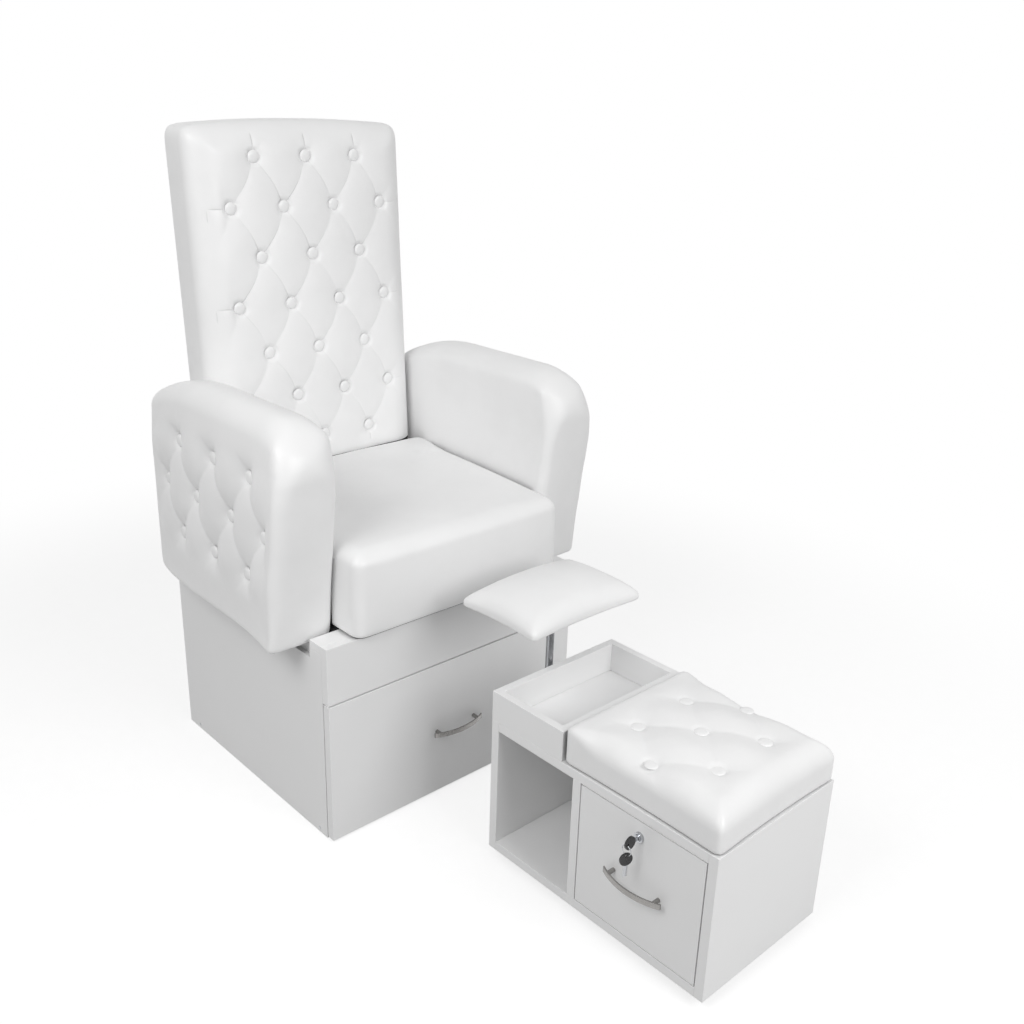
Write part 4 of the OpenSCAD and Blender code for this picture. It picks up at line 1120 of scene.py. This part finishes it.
class CHAIR_OT_stool_seat(bpy.types.Operator):
    """Upholsters the stool's tufted cushion with its buttons"""

    bl_idname = "chair.stool_seat"
    bl_label = "Stool cushion"

    def execute(self, context):
        sizes = context.scene.chair_sizes
        low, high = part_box("stool_cushion")
        half = ((high.x - low.x) / 2, (high.y - low.y) / 2, sizes.stool_height / 2)
        (x, pitch), (y, rise) = row_middle("stool_buttons", (0, 1), (2, 2), sizes.button)
        centre = ((low.x + high.x) / 2, (low.y + high.y) / 2)
        tuft = Tufting((2, 3, 2), (x - centre[0], y - centre[1]), pitch, rise,
                       depth=sizes.stool_tuft, width=0.034, puff=0.006, button=sizes.button,
                       well=0.0015, fade=0.05, sharp=0.9)
        sunk, button_lift, gap_shade_height = 0.004, 0.0012, 0.058
        o = block("stool_cushion_cover", [2 * h for h in half], step=0.0035)
        p = coords(o)
        tight = ease(p[:, 1], 0.5 * half[1], 0.95 * half[1])
        p = rolled(p, half, band=0.040, squareness=7.0,
                   front=(0.038 - 0.024 * tight, 0.032 - 0.020 * tight), rear=(0.008, 0.008))
        drawn_in(p, half, pull=0.004)
        wave = uneven(p, size=0.07, height=0.0016, seed=31.0)

        def face(u, v):
            return sizes.stool_crown * dome(u, v, half) + tuft.height(u, v) - sunk
        p[:, 2] += (face(p[:, 0], p[:, 1]) + wave) * ease(p[:, 2], 0.0, half[2])

        def placed(u, v, w):
            return np.column_stack([centre[0] + u, centre[1] + v, low.z + half[2] + w])
        put(o, placed(p[:, 0], p[:, 1], p[:, 2]))
        cover = leatherette("Stool leatherette", leather(context))
        settle(o, cover, "stool", ["stool_cushion"])
        u, v = np.array(tuft.places).T
        spots = placed(u, v, half[2] + face(u, v) + button_lift)
        button_set("stool_buttons_covered", [(Vector(s), (0, 0, 1)) for s in spots],
                   sizes.button, cover, "stool_buttons", bulge=0.09)
        # Painted shade: the end face towards the tray is black, as the shade in the gap between
        # them; the underside is the real black lining.
        lining_and_gap_shade(o, backing_and_gap_shade(), lambda c, n: (
            n.z < -0.7 or (n.y > 0.6 and c.z < low.z + gap_shade_height)))
        return {"FINISHED"}


class CHAIR_OT_foot_pad(bpy.types.Operator):
    """Upholsters the foot pad"""

    bl_idname = "chair.foot_pad"
    bl_label = "Foot pad"

    def execute(self, context):
        sizes = context.scene.chair_sizes
        low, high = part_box("foot_pad")
        tall = high.z - low.z - sizes.pad_crown
        half = ((high.x - low.x) / 2, (high.y - low.y) / 2, tall / 2)
        seam_drop, seam_width, seam_pull, rim = 0.003, 0.0022, 0.010, 0.03
        o = block("foot_pad_cover", [2 * h for h in half], step=0.0028)
        p = rolled(coords(o), half, band=0.034, squareness=6.0, front=(0.034, 0.015),
                   rear=(0.020, 0.008))
        drawn_in(p, half, pull=0.007)
        seam = np.exp(-((p[:, 2] + seam_drop) / seam_width) ** 2)
        edge = np.maximum(np.abs(p[:, 0]) - half[0] + rim, np.abs(p[:, 1]) - half[1] + rim)
        p[:, :2] *= 1 - (seam_pull * seam * ease(edge, 0.0, 0.02))[:, None]
        swell = sizes.pad_crown * dome(p[:, 0], p[:, 1], half) ** 0.62
        wave = uneven(p, size=0.08, height=0.0012, seed=41.0)
        p[:, 2] += ease(p[:, 2], -half[2], half[2]) * (swell + wave)
        put(o, p + np.array([(low.x + high.x) / 2, (low.y + high.y) / 2, low.z + half[2]]))
        settle(o, leatherette("Foot pad leatherette", leather(context)), "foot_pad",
               ["foot_pad"])
        return {"FINISHED"}


OPERATORS = (
    CHAIR_OT_stage, CHAIR_OT_boards, CHAIR_OT_metalwork, CHAIR_OT_lock, CHAIR_OT_rolling,
    CHAIR_OT_seat, CHAIR_OT_back, CHAIR_OT_arms, CHAIR_OT_stool_seat, CHAIR_OT_foot_pad,
)


class CHAIR_PT_panel(bpy.types.Panel):
    """Lists the chair's sizes, colours and pieces"""

    bl_idname = "CHAIR_PT_panel"
    bl_label = "Pedicure chair"
    bl_space_type = "VIEW_3D"
    bl_region_type = "UI"
    bl_category = "Chair"

    def draw(self, context):
        for group in (context.scene.chair_sizes, context.scene.chair_colours):
            for key in group.bl_rna.properties.keys():
                if key not in ("name", "rna_type"):
                    self.layout.prop(group, key)
        for operator in OPERATORS:
            self.layout.operator(operator.bl_idname)


CLASSES = (ChairSizes, ChairColours, *OPERATORS, CHAIR_PT_panel)


def register():
    for c in CLASSES:
        bpy.utils.register_class(c)
    bpy.types.Scene.chair_sizes = PointerProperty(type=ChairSizes)
    bpy.types.Scene.chair_colours = PointerProperty(type=ChairColours)


def unregister():
    del bpy.types.Scene.chair_colours
    del bpy.types.Scene.chair_sizes
    for c in reversed(CLASSES):
        bpy.utils.unregister_class(c)


def main():
    """Builds the stage and every piece through the panel's operators, in their order."""
    register()
    bpy.ops.chair.stage()
    bpy.ops.chair.boards()
    bpy.ops.chair.metalwork()
    bpy.ops.chair.lock()
    bpy.ops.chair.rolling()
    bpy.ops.chair.seat()
    bpy.ops.chair.back()
    bpy.ops.chair.arms()
    bpy.ops.chair.stool_seat()
    bpy.ops.chair.foot_pad()


if __name__ == "__main__":
    main()
